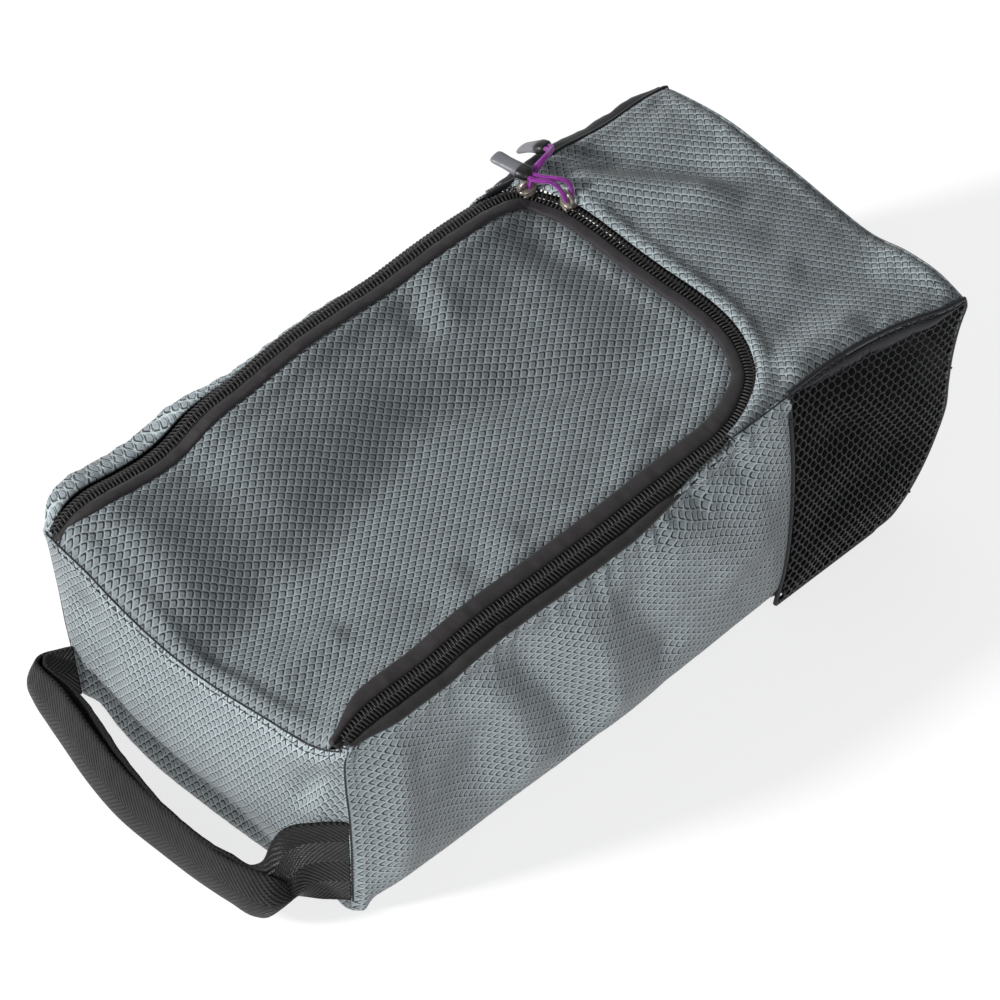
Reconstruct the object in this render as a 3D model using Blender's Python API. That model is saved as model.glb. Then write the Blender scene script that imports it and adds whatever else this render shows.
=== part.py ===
"""Golf shoe bag: a soft zipped bag lying on its base panel.

Frame: metres, +Z up. The origin is midway along the bag's length and width, level
with the underside of the base panel. +Y runs from the handle end to the toe end, +X
to the bag's right side. The lid is hinged on a seam at the handle end and closed by
a U-shaped coil zip with two sliders that meet at the far left corner. A strap handle
is sewn into the two upright corner seams of the handle end.
"""
import math

import bmesh
import bpy
from mathutils import Matrix, Vector

NAME = "golf_shoe_bag"
SIDES = (("left", -1), ("right", 1))

# ------------------------------------------------------------------ dimensions
LENGTH = 0.375            # handle end to toe end
WIDTH = 0.185
HEIGHT = 0.110            # mid plane of the zip and the top fabric
FABRIC = 0.0020           # thickness of the padded fabric
GAP = 0.0003              # clearance left between neighbouring pieces

Y0, Y1 = -LENGTH / 2, LENGTH / 2
X1 = WIDTH / 2

# zip: a U that starts at the hinge, runs up the left leg, over the far edge and back
ZIP_X = 0.084             # centre line of the right leg, and of the left leg at its slider
ZIP_X_HINGE = 0.0875      # the left leg leans outward to this at the hinge
ZIP_Y = 0.1035            # centre line of the far edge
ZIP_START = Y0 + 0.004
ZIP_GAP = 0.0006          # half the slot between the two coils
COIL_W = 0.0034           # width of one coil
COIL_T = 0.0020
TAPE_T = 0.0010
OUTER_RADII = (0.0080, 0.0430)   # left and right corners on the outer side of the slot
INNER_RADII = (0.0200, 0.0410)   # and on the lid side
HINGE_Z = 0.101           # height of the lid's hinge axis

SLIDER_LEFT_Y = 0.0945
SLIDER_RIGHT_X = -0.0660
ARCH_Z = 0.0052           # centre of a slider's arch bar above the zip's mid plane
LEFT_SLIDER = Vector((-ZIP_X, SLIDER_LEFT_Y, HEIGHT))
RIGHT_SLIDER = Vector((SLIDER_RIGHT_X, ZIP_Y, HEIGHT))
LEFT_BAR = (-ZIP_X, SLIDER_LEFT_Y, HEIGHT + ARCH_Z)
RIGHT_BAR = (SLIDER_RIGHT_X, ZIP_Y, HEIGHT + ARCH_Z)

# toe end profile, in the YZ plane: a slanted wall, then a curve into the base
TOE_WALL_Y = 0.1755       # where the wall meets the curve, at height TOE_R
TOE_R = 0.045
TOE_FLOOR_Y = TOE_WALL_Y - TOE_R          # where the curve meets the base
MESH_Y_TOP, MESH_Y_LOW = 0.089, 0.071     # seam between side fabric and side mesh

# levels and faces shared by neighbouring pieces
TAPE_DEPTH = COIL_T / 2 + TAPE_T + 2 * GAP    # zip mid plane to just below the tape
PANEL_TOP = HEIGHT - TAPE_DEPTH
TOP_UNDERSIDE = HEIGHT - FABRIC / 2 - GAP     # just below the top fabric
ON_BASE_Z = FABRIC + GAP                      # just above the base panel
INSIDE_END_Y = Y0 + FABRIC + GAP              # just inside the handle end panel

# strap handle
STRAP_W = 0.048
STRAP_T = 0.0018
STRAP_Z = 0.0355          # middle of the strap where it leaves the corner seams
SWING_Y = Y0 - 0.0022     # axis of the handle's swing
GRIP_W = 0.024            # the strap is folded in half for the grip
GRIP_T = 0.0046
GRIP_Z = 0.0185
GRIP_X = 0.0845           # where the grip meets the anchors
GRIP_END_OUT = 0.0150     # how far the grip's ends stand out from the end panel
GRIP_OUT = 0.0400         # and its middle

# ------------------------------------------------------------------ scene set-up
for ob in list(bpy.data.objects):
    bpy.data.objects.remove(ob, do_unlink=True)

parts = bpy.data.collections.new(NAME)
cutters = bpy.data.collections.new(NAME + "_cutters")
bpy.context.scene.collection.children.link(parts)
bpy.context.scene.collection.children.link(cutters)


# ------------------------------------------------------------------ materials
def material(name, colour, roughness, metallic=0.0):
    mat = bpy.data.materials.new(name)
    mat.use_nodes = True
    inputs = mat.node_tree.nodes["Principled BSDF"].inputs
    inputs["Base Color"].default_value = (*colour, 1.0)
    inputs["Roughness"].default_value = roughness
    inputs["Metallic"].default_value = metallic
    return mat


GREY = material("grey_weave", colour=(0.185, 0.215, 0.225), roughness=0.75)
GREY_END = material("grey_weave_end", colour=(0.215, 0.245, 0.255), roughness=0.75)
NET = material("black_net", colour=(0.012, 0.012, 0.013), roughness=0.6)
BAND = material("charcoal_band", colour=(0.046, 0.042, 0.046), roughness=0.7)
TAPE = material("zip_tape", colour=(0.016, 0.016, 0.018), roughness=0.8)
COIL = material("zip_coil", colour=(0.035, 0.035, 0.034), roughness=0.35)
METAL = material("gunmetal", colour=(0.33, 0.28, 0.24), roughness=0.3, metallic=1.0)
CORD = material("purple_cord", colour=(0.36, 0.035, 0.40), roughness=0.5)
TAB = material("grey_tab", colour=(0.25, 0.25, 0.28), roughness=0.45)
COLLAR = material("black_collar", colour=(0.015, 0.015, 0.017), roughness=0.4)
WEB = material("black_webbing", colour=(0.022, 0.021, 0.023), roughness=0.6)
BIND = material("binding_tape", colour=(0.018, 0.018, 0.020), roughness=0.8)


# ------------------------------------------------------------------ building helpers
def empty(name, at, parent=None):
    """An empty at a world position; the depsgraph is updated so children can use it."""
    ob = bpy.data.objects.new(name, None)
    parts.objects.link(ob)
    ob.location = at
    if parent is not None:
        ob.parent = parent
        ob.location = Vector(at) - parent.matrix_world.translation
    bpy.context.view_layer.update()
    return ob


def put(ob, mat, parent=None):
    """Link an object, give it its material and hang it from an empty in place."""
    parts.objects.link(ob)
    ob.data.materials.append(mat)
    if parent is not None:
        ob.parent = parent
        ob.matrix_basis = parent.matrix_world.inverted() @ ob.matrix_basis


def mesh_object(name, bm):
    """Turn a bmesh into an object that is not linked yet."""
    mesh = bpy.data.meshes.new(name)
    bm.to_mesh(mesh)
    bm.free()
    return bpy.data.objects.new(name, mesh)


def box(name, low, high, mat):
    """A block from its two opposite corners, with its origin at its centre."""
    low, high = Vector(low), Vector(high)
    bm = bmesh.new()
    bmesh.ops.create_cube(bm, size=1.0)
    bmesh.ops.scale(bm, vec=high - low, verts=bm.verts)
    ob = mesh_object(name, bm)
    ob.location = (high + low) / 2
    put(ob, mat)


def poly_curve(name, dimensions, points):
    """A curve object with one poly spline through 3D points."""
    curve = bpy.data.curves.new(name, "CURVE")
    curve.dimensions = dimensions
    spline = curve.splines.new("POLY")
    spline.points.add(len(points) - 1)
    for target, point in zip(spline.points, points):
        target.co = (*point, 1)
    return bpy.data.objects.new(name, curve)


def plate(name, outline, thickness, middle, mat, parent=None, upright=False):
    """A flat outline of 2D points, filled and extruded to its thickness.

    It lies level at Z = middle, or stands in the YZ plane at X = middle if upright.
    """
    ob = poly_curve(name, "2D", [(u, v, 0) for u, v in outline])
    ob.data.fill_mode = "BOTH"
    ob.data.extrude = thickness / 2
    ob.data.splines[0].use_cyclic_u = True
    if upright:
        # local x -> world Y, local y -> world Z, local z -> world X
        ob.matrix_basis = Matrix(((0, 0, 1, middle), (1, 0, 0, 0), (0, 1, 0, 0), (0, 0, 0, 1)))
    else:
        ob.location = (0, 0, middle)
    put(ob, mat, parent)


def loft(name, rings, mat, parent=None):
    """A closed solid through rings that have the same number of points."""
    bm = bmesh.new()
    loops = [[bm.verts.new(point) for point in ring] for ring in rings]
    count = len(rings[0])
    for here, there in zip(loops, loops[1:]):
        for i in range(count):
            j = (i + 1) % count
            bm.faces.new((here[i], here[j], there[j], there[i]))
    bm.faces.new(loops[0][::-1])
    bm.faces.new(loops[-1])
    bmesh.ops.recalc_face_normals(bm, faces=bm.faces)
    put(mesh_object(name, bm), mat, parent)


def arc(centre_x, centre_y, radius, start, end, steps):
    """2D points along an arc between two angles in degrees."""
    angles = [math.radians(start + (end - start) * i / steps) for i in range(steps + 1)]
    return [(centre_x + radius * math.cos(a), centre_y + radius * math.sin(a)) for a in angles]


# ------------------------------------------------------------------ zip outline
LEAN = (ZIP_X_HINGE - ZIP_X) / (SLIDER_LEFT_Y - ZIP_START)


def left_leg(y):
    """Distance of the left leg's centre line from the middle of the bag."""
    return ZIP_X + LEAN * (SLIDER_LEFT_Y - y)


def grow(radii, distance):
    return tuple(radius + distance for radius in radii)


def u_path(offset, radii, start=ZIP_START):
    """The zip's U, offset outward, from the left hinge end to the right one."""
    left_r, right_r = radii
    right_x, far_y = ZIP_X + offset, ZIP_Y + offset
    left_x = left_leg(far_y - left_r) + offset
    return [
        (-min(left_leg(start) + offset, X1), start),
        *arc(-left_x + left_r, far_y - left_r, left_r, 180, 90, 5),
        *arc(right_x - right_r, far_y - right_r, right_r, 90, 0, 7),
        (right_x, start),
    ]


def u_ring(inner, outer, inner_radii, outer_radii, start=ZIP_START):
    """Closed outline of a strip that follows the U between two offsets."""
    return u_path(outer, outer_radii, start) + u_path(inner, inner_radii, start)[::-1]


# ------------------------------------------------------------------ joint empties
lid_axis = empty("lid_hinge_axis", (0, Y0, HINGE_Z))
handle_axis = empty("handle_swing_axis", (0, SWING_Y, STRAP_Z))
left_slide_axis = empty("slider_left_axis", LEFT_SLIDER, lid_axis)
right_slide_axis = empty("slider_right_axis", RIGHT_SLIDER, lid_axis)
left_pull_axis = empty("pull_left_axis", LEFT_BAR, left_slide_axis)
right_pull_axis = empty("pull_right_axis", RIGHT_BAR, right_slide_axis)

# ------------------------------------------------------------------ body panels
NET_T = 0.0012
FABRIC_OFFSET = ZIP_GAP + COIL_W + GAP    # top fabric starts here, outside the coil
TOP_LEFT_Y = MESH_Y_TOP - 0.018           # handle-side ends of the toe top panel
TOP_RIGHT_Y = 0.052


def toe_profile(inset, top_z=TOP_UNDERSIDE):
    """Wall and curve of the toe end from the top edge down to the base."""
    return [(Y1 - inset, top_z)] + arc(TOE_FLOOR_Y, TOE_R, TOE_R - inset, 0, -90, 7)


def base_and_end_panels():
    box("base_panel", (-X1, Y0, 0), (X1, TOE_FLOOR_Y - GAP, FABRIC), GREY)
    box("handle_end_panel", (-X1, Y0, ON_BASE_Z), (X1, Y0 + FABRIC, PANEL_TOP), GREY_END)
    toe = toe_profile(0.0) + toe_profile(FABRIC)[::-1]
    plate("toe_end_panel", toe, WIDTH, 0.0, GREY, upright=True)


def side_panels():
    """Fabric from the handle end to the slanted seam, and net from there to the toe."""
    fabric = [
        (INSIDE_END_Y, ON_BASE_Z),
        (MESH_Y_LOW - GAP, ON_BASE_Z),
        (MESH_Y_TOP - GAP, PANEL_TOP),
        (INSIDE_END_Y, PANEL_TOP),
    ]
    # the net's rim runs just inside the toe end panel
    net = [
        (MESH_Y_LOW, ON_BASE_Z),
        *toe_profile(FABRIC + GAP, PANEL_TOP)[::-1],
        (MESH_Y_TOP, PANEL_TOP),
    ]
    for side, sign in SIDES:
        fabric_x = sign * (X1 - FABRIC / 2)
        net_x = sign * (X1 - NET_T / 2)
        plate("side_panel_" + side, fabric, FABRIC, fabric_x, GREY, upright=True)
        plate("mesh_panel_" + side, net, NET_T, net_x, NET, upright=True)


def toe_top_panel():
    """Top panel between the zip's far edge and the toe end."""
    outline = [
        (-X1, TOP_LEFT_Y),
        (-X1, Y1),
        (X1, Y1),
        (X1, TOP_RIGHT_Y),
        (ZIP_X + FABRIC_OFFSET, TOP_RIGHT_Y),
        *u_path(FABRIC_OFFSET, OUTER_RADII)[-2:0:-1],
        (-left_leg(TOP_LEFT_Y) - FABRIC_OFFSET, TOP_LEFT_Y),
    ]
    plate("toe_top_panel", outline, FABRIC, HEIGHT, GREY)


base_and_end_panels()
side_panels()
toe_top_panel()

# ------------------------------------------------------------------ zip and lid
TAPE_Z = HEIGHT - COIL_T / 2 - GAP - TAPE_T / 2
BAND_W = 0.0066           # folded ribbon that hides the lid side of the tape
BAND_T = 0.0020
BAND_OUT = -(ZIP_GAP + COIL_W + GAP)      # offsets of the band's two edges
BAND_IN = BAND_OUT - BAND_W
LID_RADII = grow(INNER_RADII, -(BAND_W + COIL_W))
OUTER_TAPE_GROW = 0.004   # corner radius added at the outer tape's outer edge
INNER_TAPE_SHRINK = 0.008    # corner radius lost at the inner tape's inner edge
INNER_TAPE_LAP = 0.0015   # how far the inner tape reaches past the band


def zip_outer():
    """Tape and coil on the body's side of the slot."""
    tape = u_ring(
        ZIP_GAP, X1 - ZIP_X,
        OUTER_RADII, grow(OUTER_RADII, OUTER_TAPE_GROW),
        start=INSIDE_END_Y,
    )
    coil = u_ring(ZIP_GAP, ZIP_GAP + COIL_W, OUTER_RADII, grow(OUTER_RADII, COIL_W))
    plate("zip_tape_outer", tape, TAPE_T, TAPE_Z, TAPE)
    plate("zip_coil_outer", coil, COIL_T, HEIGHT, COIL)


def lid():
    panel = u_path(BAND_IN - GAP, LID_RADII, start=Y0 + GAP)
    coil_radii = grow(INNER_RADII, -COIL_W)
    band = u_ring(BAND_IN, BAND_OUT, grow(LID_RADII, GAP), coil_radii)
    plate("lid_panel", panel, FABRIC, HEIGHT, GREY, lid_axis)
    plate("lid_edge_band", band, BAND_T, HEIGHT, BAND, lid_axis)


def zip_inner():
    """Tape and coil on the lid's side of the slot."""
    tape = u_ring(
        BAND_IN - INNER_TAPE_LAP, -ZIP_GAP,
        grow(INNER_RADII, -INNER_TAPE_SHRINK), INNER_RADII,
    )
    coil = u_ring(-(ZIP_GAP + COIL_W), -ZIP_GAP, grow(INNER_RADII, -COIL_W), INNER_RADII)
    plate("zip_tape_inner", tape, TAPE_T, TAPE_Z, TAPE, lid_axis)
    plate("zip_coil_inner", coil, COIL_T, HEIGHT, COIL, lid_axis)


zip_outer()
lid()
zip_inner()

# ------------------------------------------------------------------ sliders
HALF_L = 0.0090 / 2       # half the length and width of the top plate
HALF_W = 0.0094 / 2
PLATE_Z = COIL_T / 2 + GAP                # underside of the top plate
ROOT_Z = PLATE_Z + 0.0005                 # post and legs end inside the top plate
LEG_TOP = ARCH_Z + 0.0008

# spans from the slider's centre: along the zip, outward across it, upward
SLIDER_PLATE = ((-HALF_L, HALF_L), (-HALF_W, HALF_W), (PLATE_Z, PLATE_Z + 0.0010))
SLIDER_BITS = {
    # post in the slot between the coils
    "_post": ((0.0005, 0.0030), (-0.0003, 0.0003), (-TAPE_DEPTH - 0.0005, ROOT_Z)),
    # lower plate under the lid side's tape
    "_under": (
        (-HALF_L + 0.001, HALF_L - 0.001),
        (-HALF_W + 0.0002, 0.0002),
        (-TAPE_DEPTH - 0.0010, -TAPE_DEPTH),
    ),
    # arch that holds the cord: two legs and a bar
    "_leg_a": ((-HALF_L + 0.0005, -HALF_L + 0.0017), (-0.0010, 0.0010), (ROOT_Z, LEG_TOP)),
    "_leg_b": ((HALF_L - 0.0017, HALF_L - 0.0005), (-0.0010, 0.0010), (ROOT_Z, LEG_TOP)),
    "_bar": (
        (-HALF_L + 0.0010, HALF_L - 0.0010),
        (-0.0005, 0.0005),
        (ARCH_Z - 0.0005, ARCH_Z + 0.0005),
    ),
}


def slider_block(name, centre, axes, spans):
    """A block given by its span along each of three axes from a centre."""
    matrix = Matrix([axis * (high - low) for axis, (low, high) in zip(axes, spans)])
    matrix = matrix.transposed().to_4x4()
    middle = centre.copy()
    for axis, (low, high) in zip(axes, spans):
        middle += axis * (low + high) / 2
    matrix.translation = middle
    bm = bmesh.new()
    bmesh.ops.create_cube(bm, size=1.0)
    bmesh.ops.transform(bm, matrix=matrix, verts=bm.verts)
    # a left-handed set of axes turns the cube inside out
    bmesh.ops.recalc_face_normals(bm, faces=bm.faces)
    return mesh_object(name, bm)


def slider(name, centre, along, out, parent):
    """along is the slide direction; out points to the outer side of the zip."""
    axes = (Vector(along), Vector(out), Vector((0, 0, 1)))
    body = slider_block(name, centre, axes, SLIDER_PLATE)
    for tag, spans in SLIDER_BITS.items():
        bit = slider_block(name + tag, centre, axes, spans)
        cutters.objects.link(bit)
        bit.hide_render = True
        bit.display_type = "WIRE"
        join = body.modifiers.new("join" + bit.name, "BOOLEAN")
        join.operation = "UNION"
        join.object = bit
    put(body, METAL, parent)


leg = Vector((LEAN, 1, 0)).normalized()
slider("slider_left", LEFT_SLIDER, leg, (-leg.y, leg.x, 0), left_slide_axis)
slider("slider_right", RIGHT_SLIDER, (-1, 0, 0), (0, 1, 0), right_slide_axis)

# ------------------------------------------------------------------ pulls
CORD_R = 0.0009
LOOP_R = 0.0018           # cord centre line around the arch bar
STRAND = 0.0012           # half the spacing of the two strands at the collar
FOOT_RISE = 0.0028        # where the strands begin to bend, above the bar
CORD_CLEAR = GAP + 0.0001    # cord ends stop this far short of the collar
COLLAR_L = 0.0042

# distance from the collar's start, half width, half thickness
COLLAR_STATIONS = (
    (0.0, 0.0030, 0.0020),
    (0.0012, 0.0036, 0.0024),
    (COLLAR_L, 0.0037, 0.0025),
)
# fraction of the tab's length, half width, half thickness
TAB_STATIONS = (
    (0.0, 0.0037, 0.0025),
    (0.45, 0.0034, 0.0019),
    (0.85, 0.0036, 0.0016),
    (1.0, 0.0026, 0.0010),
)


def bezier(a, b, c, d, steps=9):
    """Points along a cubic through its four control points."""
    points = []
    for i in range(steps + 1):
        t = i / steps
        u = 1 - t
        points.append(a * u**3 + b * 3 * u * u * t + c * 3 * u * t * t + d * t**3)
    return points


def oval(centre, across, normal, half_width, half_thickness, count=10):
    angles = [2 * math.pi * i / count for i in range(count)]
    return [
        centre + across * half_width * math.cos(a) + normal * half_thickness * math.sin(a)
        for a in angles
    ]


def collar_and_tab(side, start, forward, across, length, parent):
    """A moulded tab with a darker collar where the two cord ends go in."""
    normal = across.cross(forward).normalized()
    collar = [oval(start + forward * s, across, normal, w, t) for s, w, t in COLLAR_STATIONS]
    loft("pull_collar_" + side, collar, COLLAR, parent)

    root = start + forward * (COLLAR_L + GAP)
    reach = start + forward * length - root
    tab = [oval(root + reach * s, across, normal, w, t) for s, w, t in TAB_STATIONS]
    loft("pull_tab_" + side, tab, TAB, parent)


def loop_cord(side, bar, spread, collar, forward, across, rise, reach, parent):
    """A cord doubled through a slider's arch: a half turn under the bar, both
    strands standing up beside it, then bending over to meet the collar."""
    z = Vector((0, 0, 1))
    end = collar - forward * CORD_CLEAR

    def strand(sign):
        foot = bar + spread * (sign * LOOP_R) + z * FOOT_RISE
        tip = end + across * (sign * STRAND)
        return bezier(foot, foot + z * rise, tip - forward * reach, tip)

    half_turn = [
        bar + spread * LOOP_R * math.cos(a) + z * LOOP_R * math.sin(a)
        for a in map(math.radians, range(0, -181, -30))
    ]
    points = strand(1)[::-1] + half_turn + strand(-1)
    ob = poly_curve("pull_cord_" + side, "3D", points)
    ob.data.bevel_depth = CORD_R
    ob.data.bevel_resolution = 2
    ob.data.use_fill_caps = True
    put(ob, CORD, parent)


def pull(side, bar, spread, collar, direction, up, length, rise, reach, parent):
    """Collar, tab and cord. spread points across the bar; rise and reach are the
    lengths of the cord's bezier handles at the bar and at the collar."""
    collar = Vector(collar)
    forward = Vector(direction).normalized()
    across = forward.cross(Vector(up)).normalized()
    collar_and_tab(side, collar, forward, across, length, parent)
    loop_cord(
        side, Vector(bar), Vector(spread), collar, forward, across, rise, reach, parent
    )


# the left pull bends toward the toe and drops over the bag's edge
pull(
    "left",
    bar=LEFT_BAR,
    spread=(1, 0, 0),
    collar=(-0.0945, 0.1163, HEIGHT + 0.0052),
    direction=(-0.60, 0.05, -0.62),
    up=(-0.7, 0.0, 0.7),
    length=0.0250,
    rise=0.0040,
    reach=0.0090,
    parent=left_pull_axis,
)
# the right pull stands up, crosses above the left slider and points over the edge
pull(
    "right",
    bar=RIGHT_BAR,
    spread=(0, 1, 0),
    collar=(-0.0825, 0.0941, HEIGHT + 0.0150),
    direction=(-0.0178, -0.0026, -0.0005),
    up=(0, 0, 1),
    length=0.0200,
    rise=0.0080,
    reach=0.0080,
    parent=right_pull_axis,
)

# ------------------------------------------------------------------ strap handle
BOW_POWER = 3.2           # higher makes the grip's middle flatter
GRIP_STEPS = 18


def strap_section(centre, tangent, height, thickness):
    """A rectangle across the strap: thick through the web, height up the web."""
    tangent = Vector(tangent).normalized()
    normal = tangent.cross(Vector((0, 0, 1))).normalized()
    up = normal.cross(tangent).normalized()
    a, b = normal * thickness / 2, up * height / 2
    return [centre - a - b, centre + a - b, centre + a + b, centre - a + b]


def handle_anchors():
    """Full width in the corner seam, folding to half width where the grip starts."""
    for side, sign in SIDES:
        seam = Vector((sign * (X1 - 0.0002), Y0 - 0.0018, STRAP_Z))
        middle = Vector((sign * (GRIP_X + 0.0032), Y0 - 0.0085, STRAP_Z - 0.0035))
        fold = Vector((sign * (GRIP_X + GAP), Y0 - GRIP_END_OUT, GRIP_Z))
        run = fold - seam
        run.z = 0
        rings = [
            strap_section(seam, run, STRAP_W, STRAP_T),
            strap_section(middle, run, STRAP_W * 0.85, STRAP_T),
            strap_section(fold, (-sign, 0, 0), GRIP_W, GRIP_T),
        ]
        loft("handle_anchor_" + side, rings, WEB)


def handle_grip():
    """The folded strap, arching outward between the two anchors."""
    half_span = GRIP_X - GAP
    depth = GRIP_OUT - GRIP_END_OUT
    rings = []
    for i in range(GRIP_STEPS + 1):
        t = -1 + 2 * i / GRIP_STEPS
        y = Y0 - GRIP_END_OUT - depth * (1 - abs(t) ** BOW_POWER)
        slope = depth * BOW_POWER * abs(t) ** (BOW_POWER - 1) / half_span
        if i in (0, GRIP_STEPS):
            slope = 0.0       # square ends, to face the anchors
        tangent = (1, math.copysign(slope, t), 0)
        centre = Vector((half_span * t, y, GRIP_Z))
        rings.append(strap_section(centre, tangent, GRIP_W, GRIP_T))
    loft("handle_grip", rings, WEB, handle_axis)


handle_anchors()
handle_grip()

# ------------------------------------------------------------------ seam bindings
BIND_T = 0.0014
BIND_W = 0.0080
BIND_X = X1 - FABRIC - GAP                # inner face of the side panels
CROSS_X = BIND_X - 0.004                  # half length of the bindings across the ends
HINGE_BIND_X = ZIP_X - 0.014
HINGE_BIND_TOP = PANEL_TOP - 0.0030
TOE_BIND_Y = Y1 - FABRIC - 0.0030


def side_bindings():
    start_y = INSIDE_END_Y + BIND_T + GAP
    foot_top = ON_BASE_Z + BIND_W
    for side, sign in SIDES:
        low_x, high_x = sorted((sign * BIND_X, sign * (BIND_X - BIND_T)))
        # along the foot of the side panel, standing on the base
        box(
            "binding_base_" + side,
            (low_x, start_y, ON_BASE_Z),
            (high_x, TOE_FLOOR_Y - 0.004, foot_top),
            BIND,
        )
        # up the corner between the side and the handle end panel
        box(
            "binding_corner_" + side,
            (low_x, start_y, foot_top + GAP),
            (high_x, start_y + BIND_W, PANEL_TOP - 0.0026),
            BIND,
        )


def cross_bindings():
    """At the foot and top of the handle end, and under the toe end's top edge."""
    end_y = INSIDE_END_Y + BIND_T
    box(
        "binding_handle_end",
        (-CROSS_X, INSIDE_END_Y, ON_BASE_Z),
        (CROSS_X, end_y, ON_BASE_Z + BIND_W),
        BIND,
    )
    box(
        "binding_hinge",
        (-HINGE_BIND_X, INSIDE_END_Y, HINGE_BIND_TOP - BIND_W),
        (HINGE_BIND_X, end_y, HINGE_BIND_TOP),
        BIND,
    )
    box(
        "binding_toe_end",
        (-CROSS_X, TOE_BIND_Y - BIND_W, TOP_UNDERSIDE - BIND_T),
        (CROSS_X, TOE_BIND_Y, TOP_UNDERSIDE),
        BIND,
    )


side_bindings()
cross_bindings()
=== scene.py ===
"""Golf shoe bag with a zipped lid, a toe end with net sides and a webbing handle.

Metres, +Z up, standing on z = 0. +Y runs from the handle end to the toe end, +X to the
bag's right side. Every soft panel is its own sagging sheet between shared seam lines,
and the zip is built tooth by tooth along one three-dimensional line.
"""
import math

import bpy
import bmesh
import numpy as np
from mathutils import Matrix, Vector
from mathutils.geometry import delaunay_2d_cdt


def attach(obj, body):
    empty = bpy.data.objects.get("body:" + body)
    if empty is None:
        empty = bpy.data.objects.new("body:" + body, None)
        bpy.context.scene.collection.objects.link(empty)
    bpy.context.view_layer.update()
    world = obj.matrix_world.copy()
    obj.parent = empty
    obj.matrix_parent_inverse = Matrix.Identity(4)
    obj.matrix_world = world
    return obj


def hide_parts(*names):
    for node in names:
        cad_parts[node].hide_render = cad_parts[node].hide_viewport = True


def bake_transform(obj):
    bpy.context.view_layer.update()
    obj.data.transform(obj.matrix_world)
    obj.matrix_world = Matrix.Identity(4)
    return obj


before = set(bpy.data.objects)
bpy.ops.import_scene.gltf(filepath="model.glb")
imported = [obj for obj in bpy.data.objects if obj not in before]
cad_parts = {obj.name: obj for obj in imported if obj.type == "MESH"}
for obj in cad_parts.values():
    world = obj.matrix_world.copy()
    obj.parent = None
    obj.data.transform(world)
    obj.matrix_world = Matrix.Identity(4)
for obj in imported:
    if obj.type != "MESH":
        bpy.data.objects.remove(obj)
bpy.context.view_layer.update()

COARSE = 1.0      # grids get coarser by this factor
HINGE_Y = -0.1875                        # hinge seam between the lid and the handle end
FLOOR_Z = 0.0012                         # foot of the side walls
CLOTH = 0.0014                           # cloth thickness

# sheet spacing, and wall grid counts along y, across x and from top to bottom
SPACING = 0.0022 * COARSE
GRID_Y = int(170 / COARSE)
GRID_X = int(118 / COARSE)
GRID_Z = int(72 / COARSE)

# =============================================================== curves


def spline(keys, values, at):
    """Smooth cubic through (keys, values), held flat outside; values may be points."""
    keys = np.asarray(keys, float)
    values = np.asarray(values, float)
    at = np.asarray(at, float)
    scalar = values.ndim == 1
    if scalar:
        values = values[:, None]
    gap = np.diff(keys)
    slope = np.diff(values, axis=0) / gap[:, None]
    tangent = np.empty_like(values)
    tangent[0], tangent[-1] = slope[0], slope[-1]
    weighted = slope[:-1] * gap[1:, None] + slope[1:] * gap[:-1, None]
    tangent[1:-1] = weighted / (gap[1:] + gap[:-1])[:, None]
    held = np.clip(at.ravel(), keys[0], keys[-1])
    i = np.clip(np.searchsorted(keys, held, side="right") - 1, 0, len(gap) - 1)
    t = ((held - keys[i]) / gap[i])[:, None]
    length = gap[i][:, None]
    out = (
        values[i] * (2 * t**3 - 3 * t**2 + 1)
        + tangent[i] * length * (t**3 - 2 * t**2 + t)
        + values[i + 1] * (3 * t**2 - 2 * t**3)
        + tangent[i + 1] * length * (t**3 - t**2)
    )
    return out[:, 0].reshape(at.shape) if scalar else out.reshape(at.shape + (values.shape[1],))


def arc_length(points):
    """Distance along a polyline at each of its points."""
    points = np.asarray(points, float)
    return np.concatenate([[0], np.cumsum(np.linalg.norm(np.diff(points, axis=0), axis=1))])


def resample(points, count):
    """count points evenly spaced along a polyline."""
    length = arc_length(points)
    at = np.linspace(0, length[-1], count)
    return np.stack([np.interp(at, length, points[:, k]) for k in range(points.shape[1])], 1)


def curve(points, count, dense=1200):
    """count evenly spaced points on the smooth curve through points."""
    points = np.asarray(points, float)
    length = arc_length(points)
    return resample(spline(length, points, np.linspace(0, length[-1], dense)), count)


def smooth(values, passes):
    """Averages each row with its neighbours; the ends stay."""
    values = values.copy()
    for _ in range(passes):
        values[1:-1] = (values[:-2] + 2 * values[1:-1] + values[2:]) / 4
    return values


def unit(vectors, tiny=0.0):
    return vectors / (np.linalg.norm(vectors, axis=-1, keepdims=True) + tiny)


def xyz(x, y, z):
    """Points from coordinates that may be arrays or single numbers."""
    return np.stack(np.broadcast_arrays(x, y, z), -1)


# =============================================================== relief


def step(x, start, end):
    """Smooth rise from 0 at start to 1 at end."""
    t = np.clip((np.asarray(x, float) - start) / (end - start), 0, 1)
    return t * t * (3 - 2 * t)


def bell(x, centre, width):
    return np.exp(-(((x - centre) / width) ** 2))


def wave(x, seed, base):
    """A smooth repeatable wobble of about unit size, main wavelength base."""
    draw = np.random.default_rng(seed)
    out = 0
    for k, size in ((1, 1.0), (1.7, 0.6), (2.9, 0.35), (4.6, 0.2)):
        turn = 2 * math.pi * k * x / base * (0.9 + 0.2 * draw.random())
        out = out + size * np.sin(turn + 6.28 * draw.random())
    return out / 1.4


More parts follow.
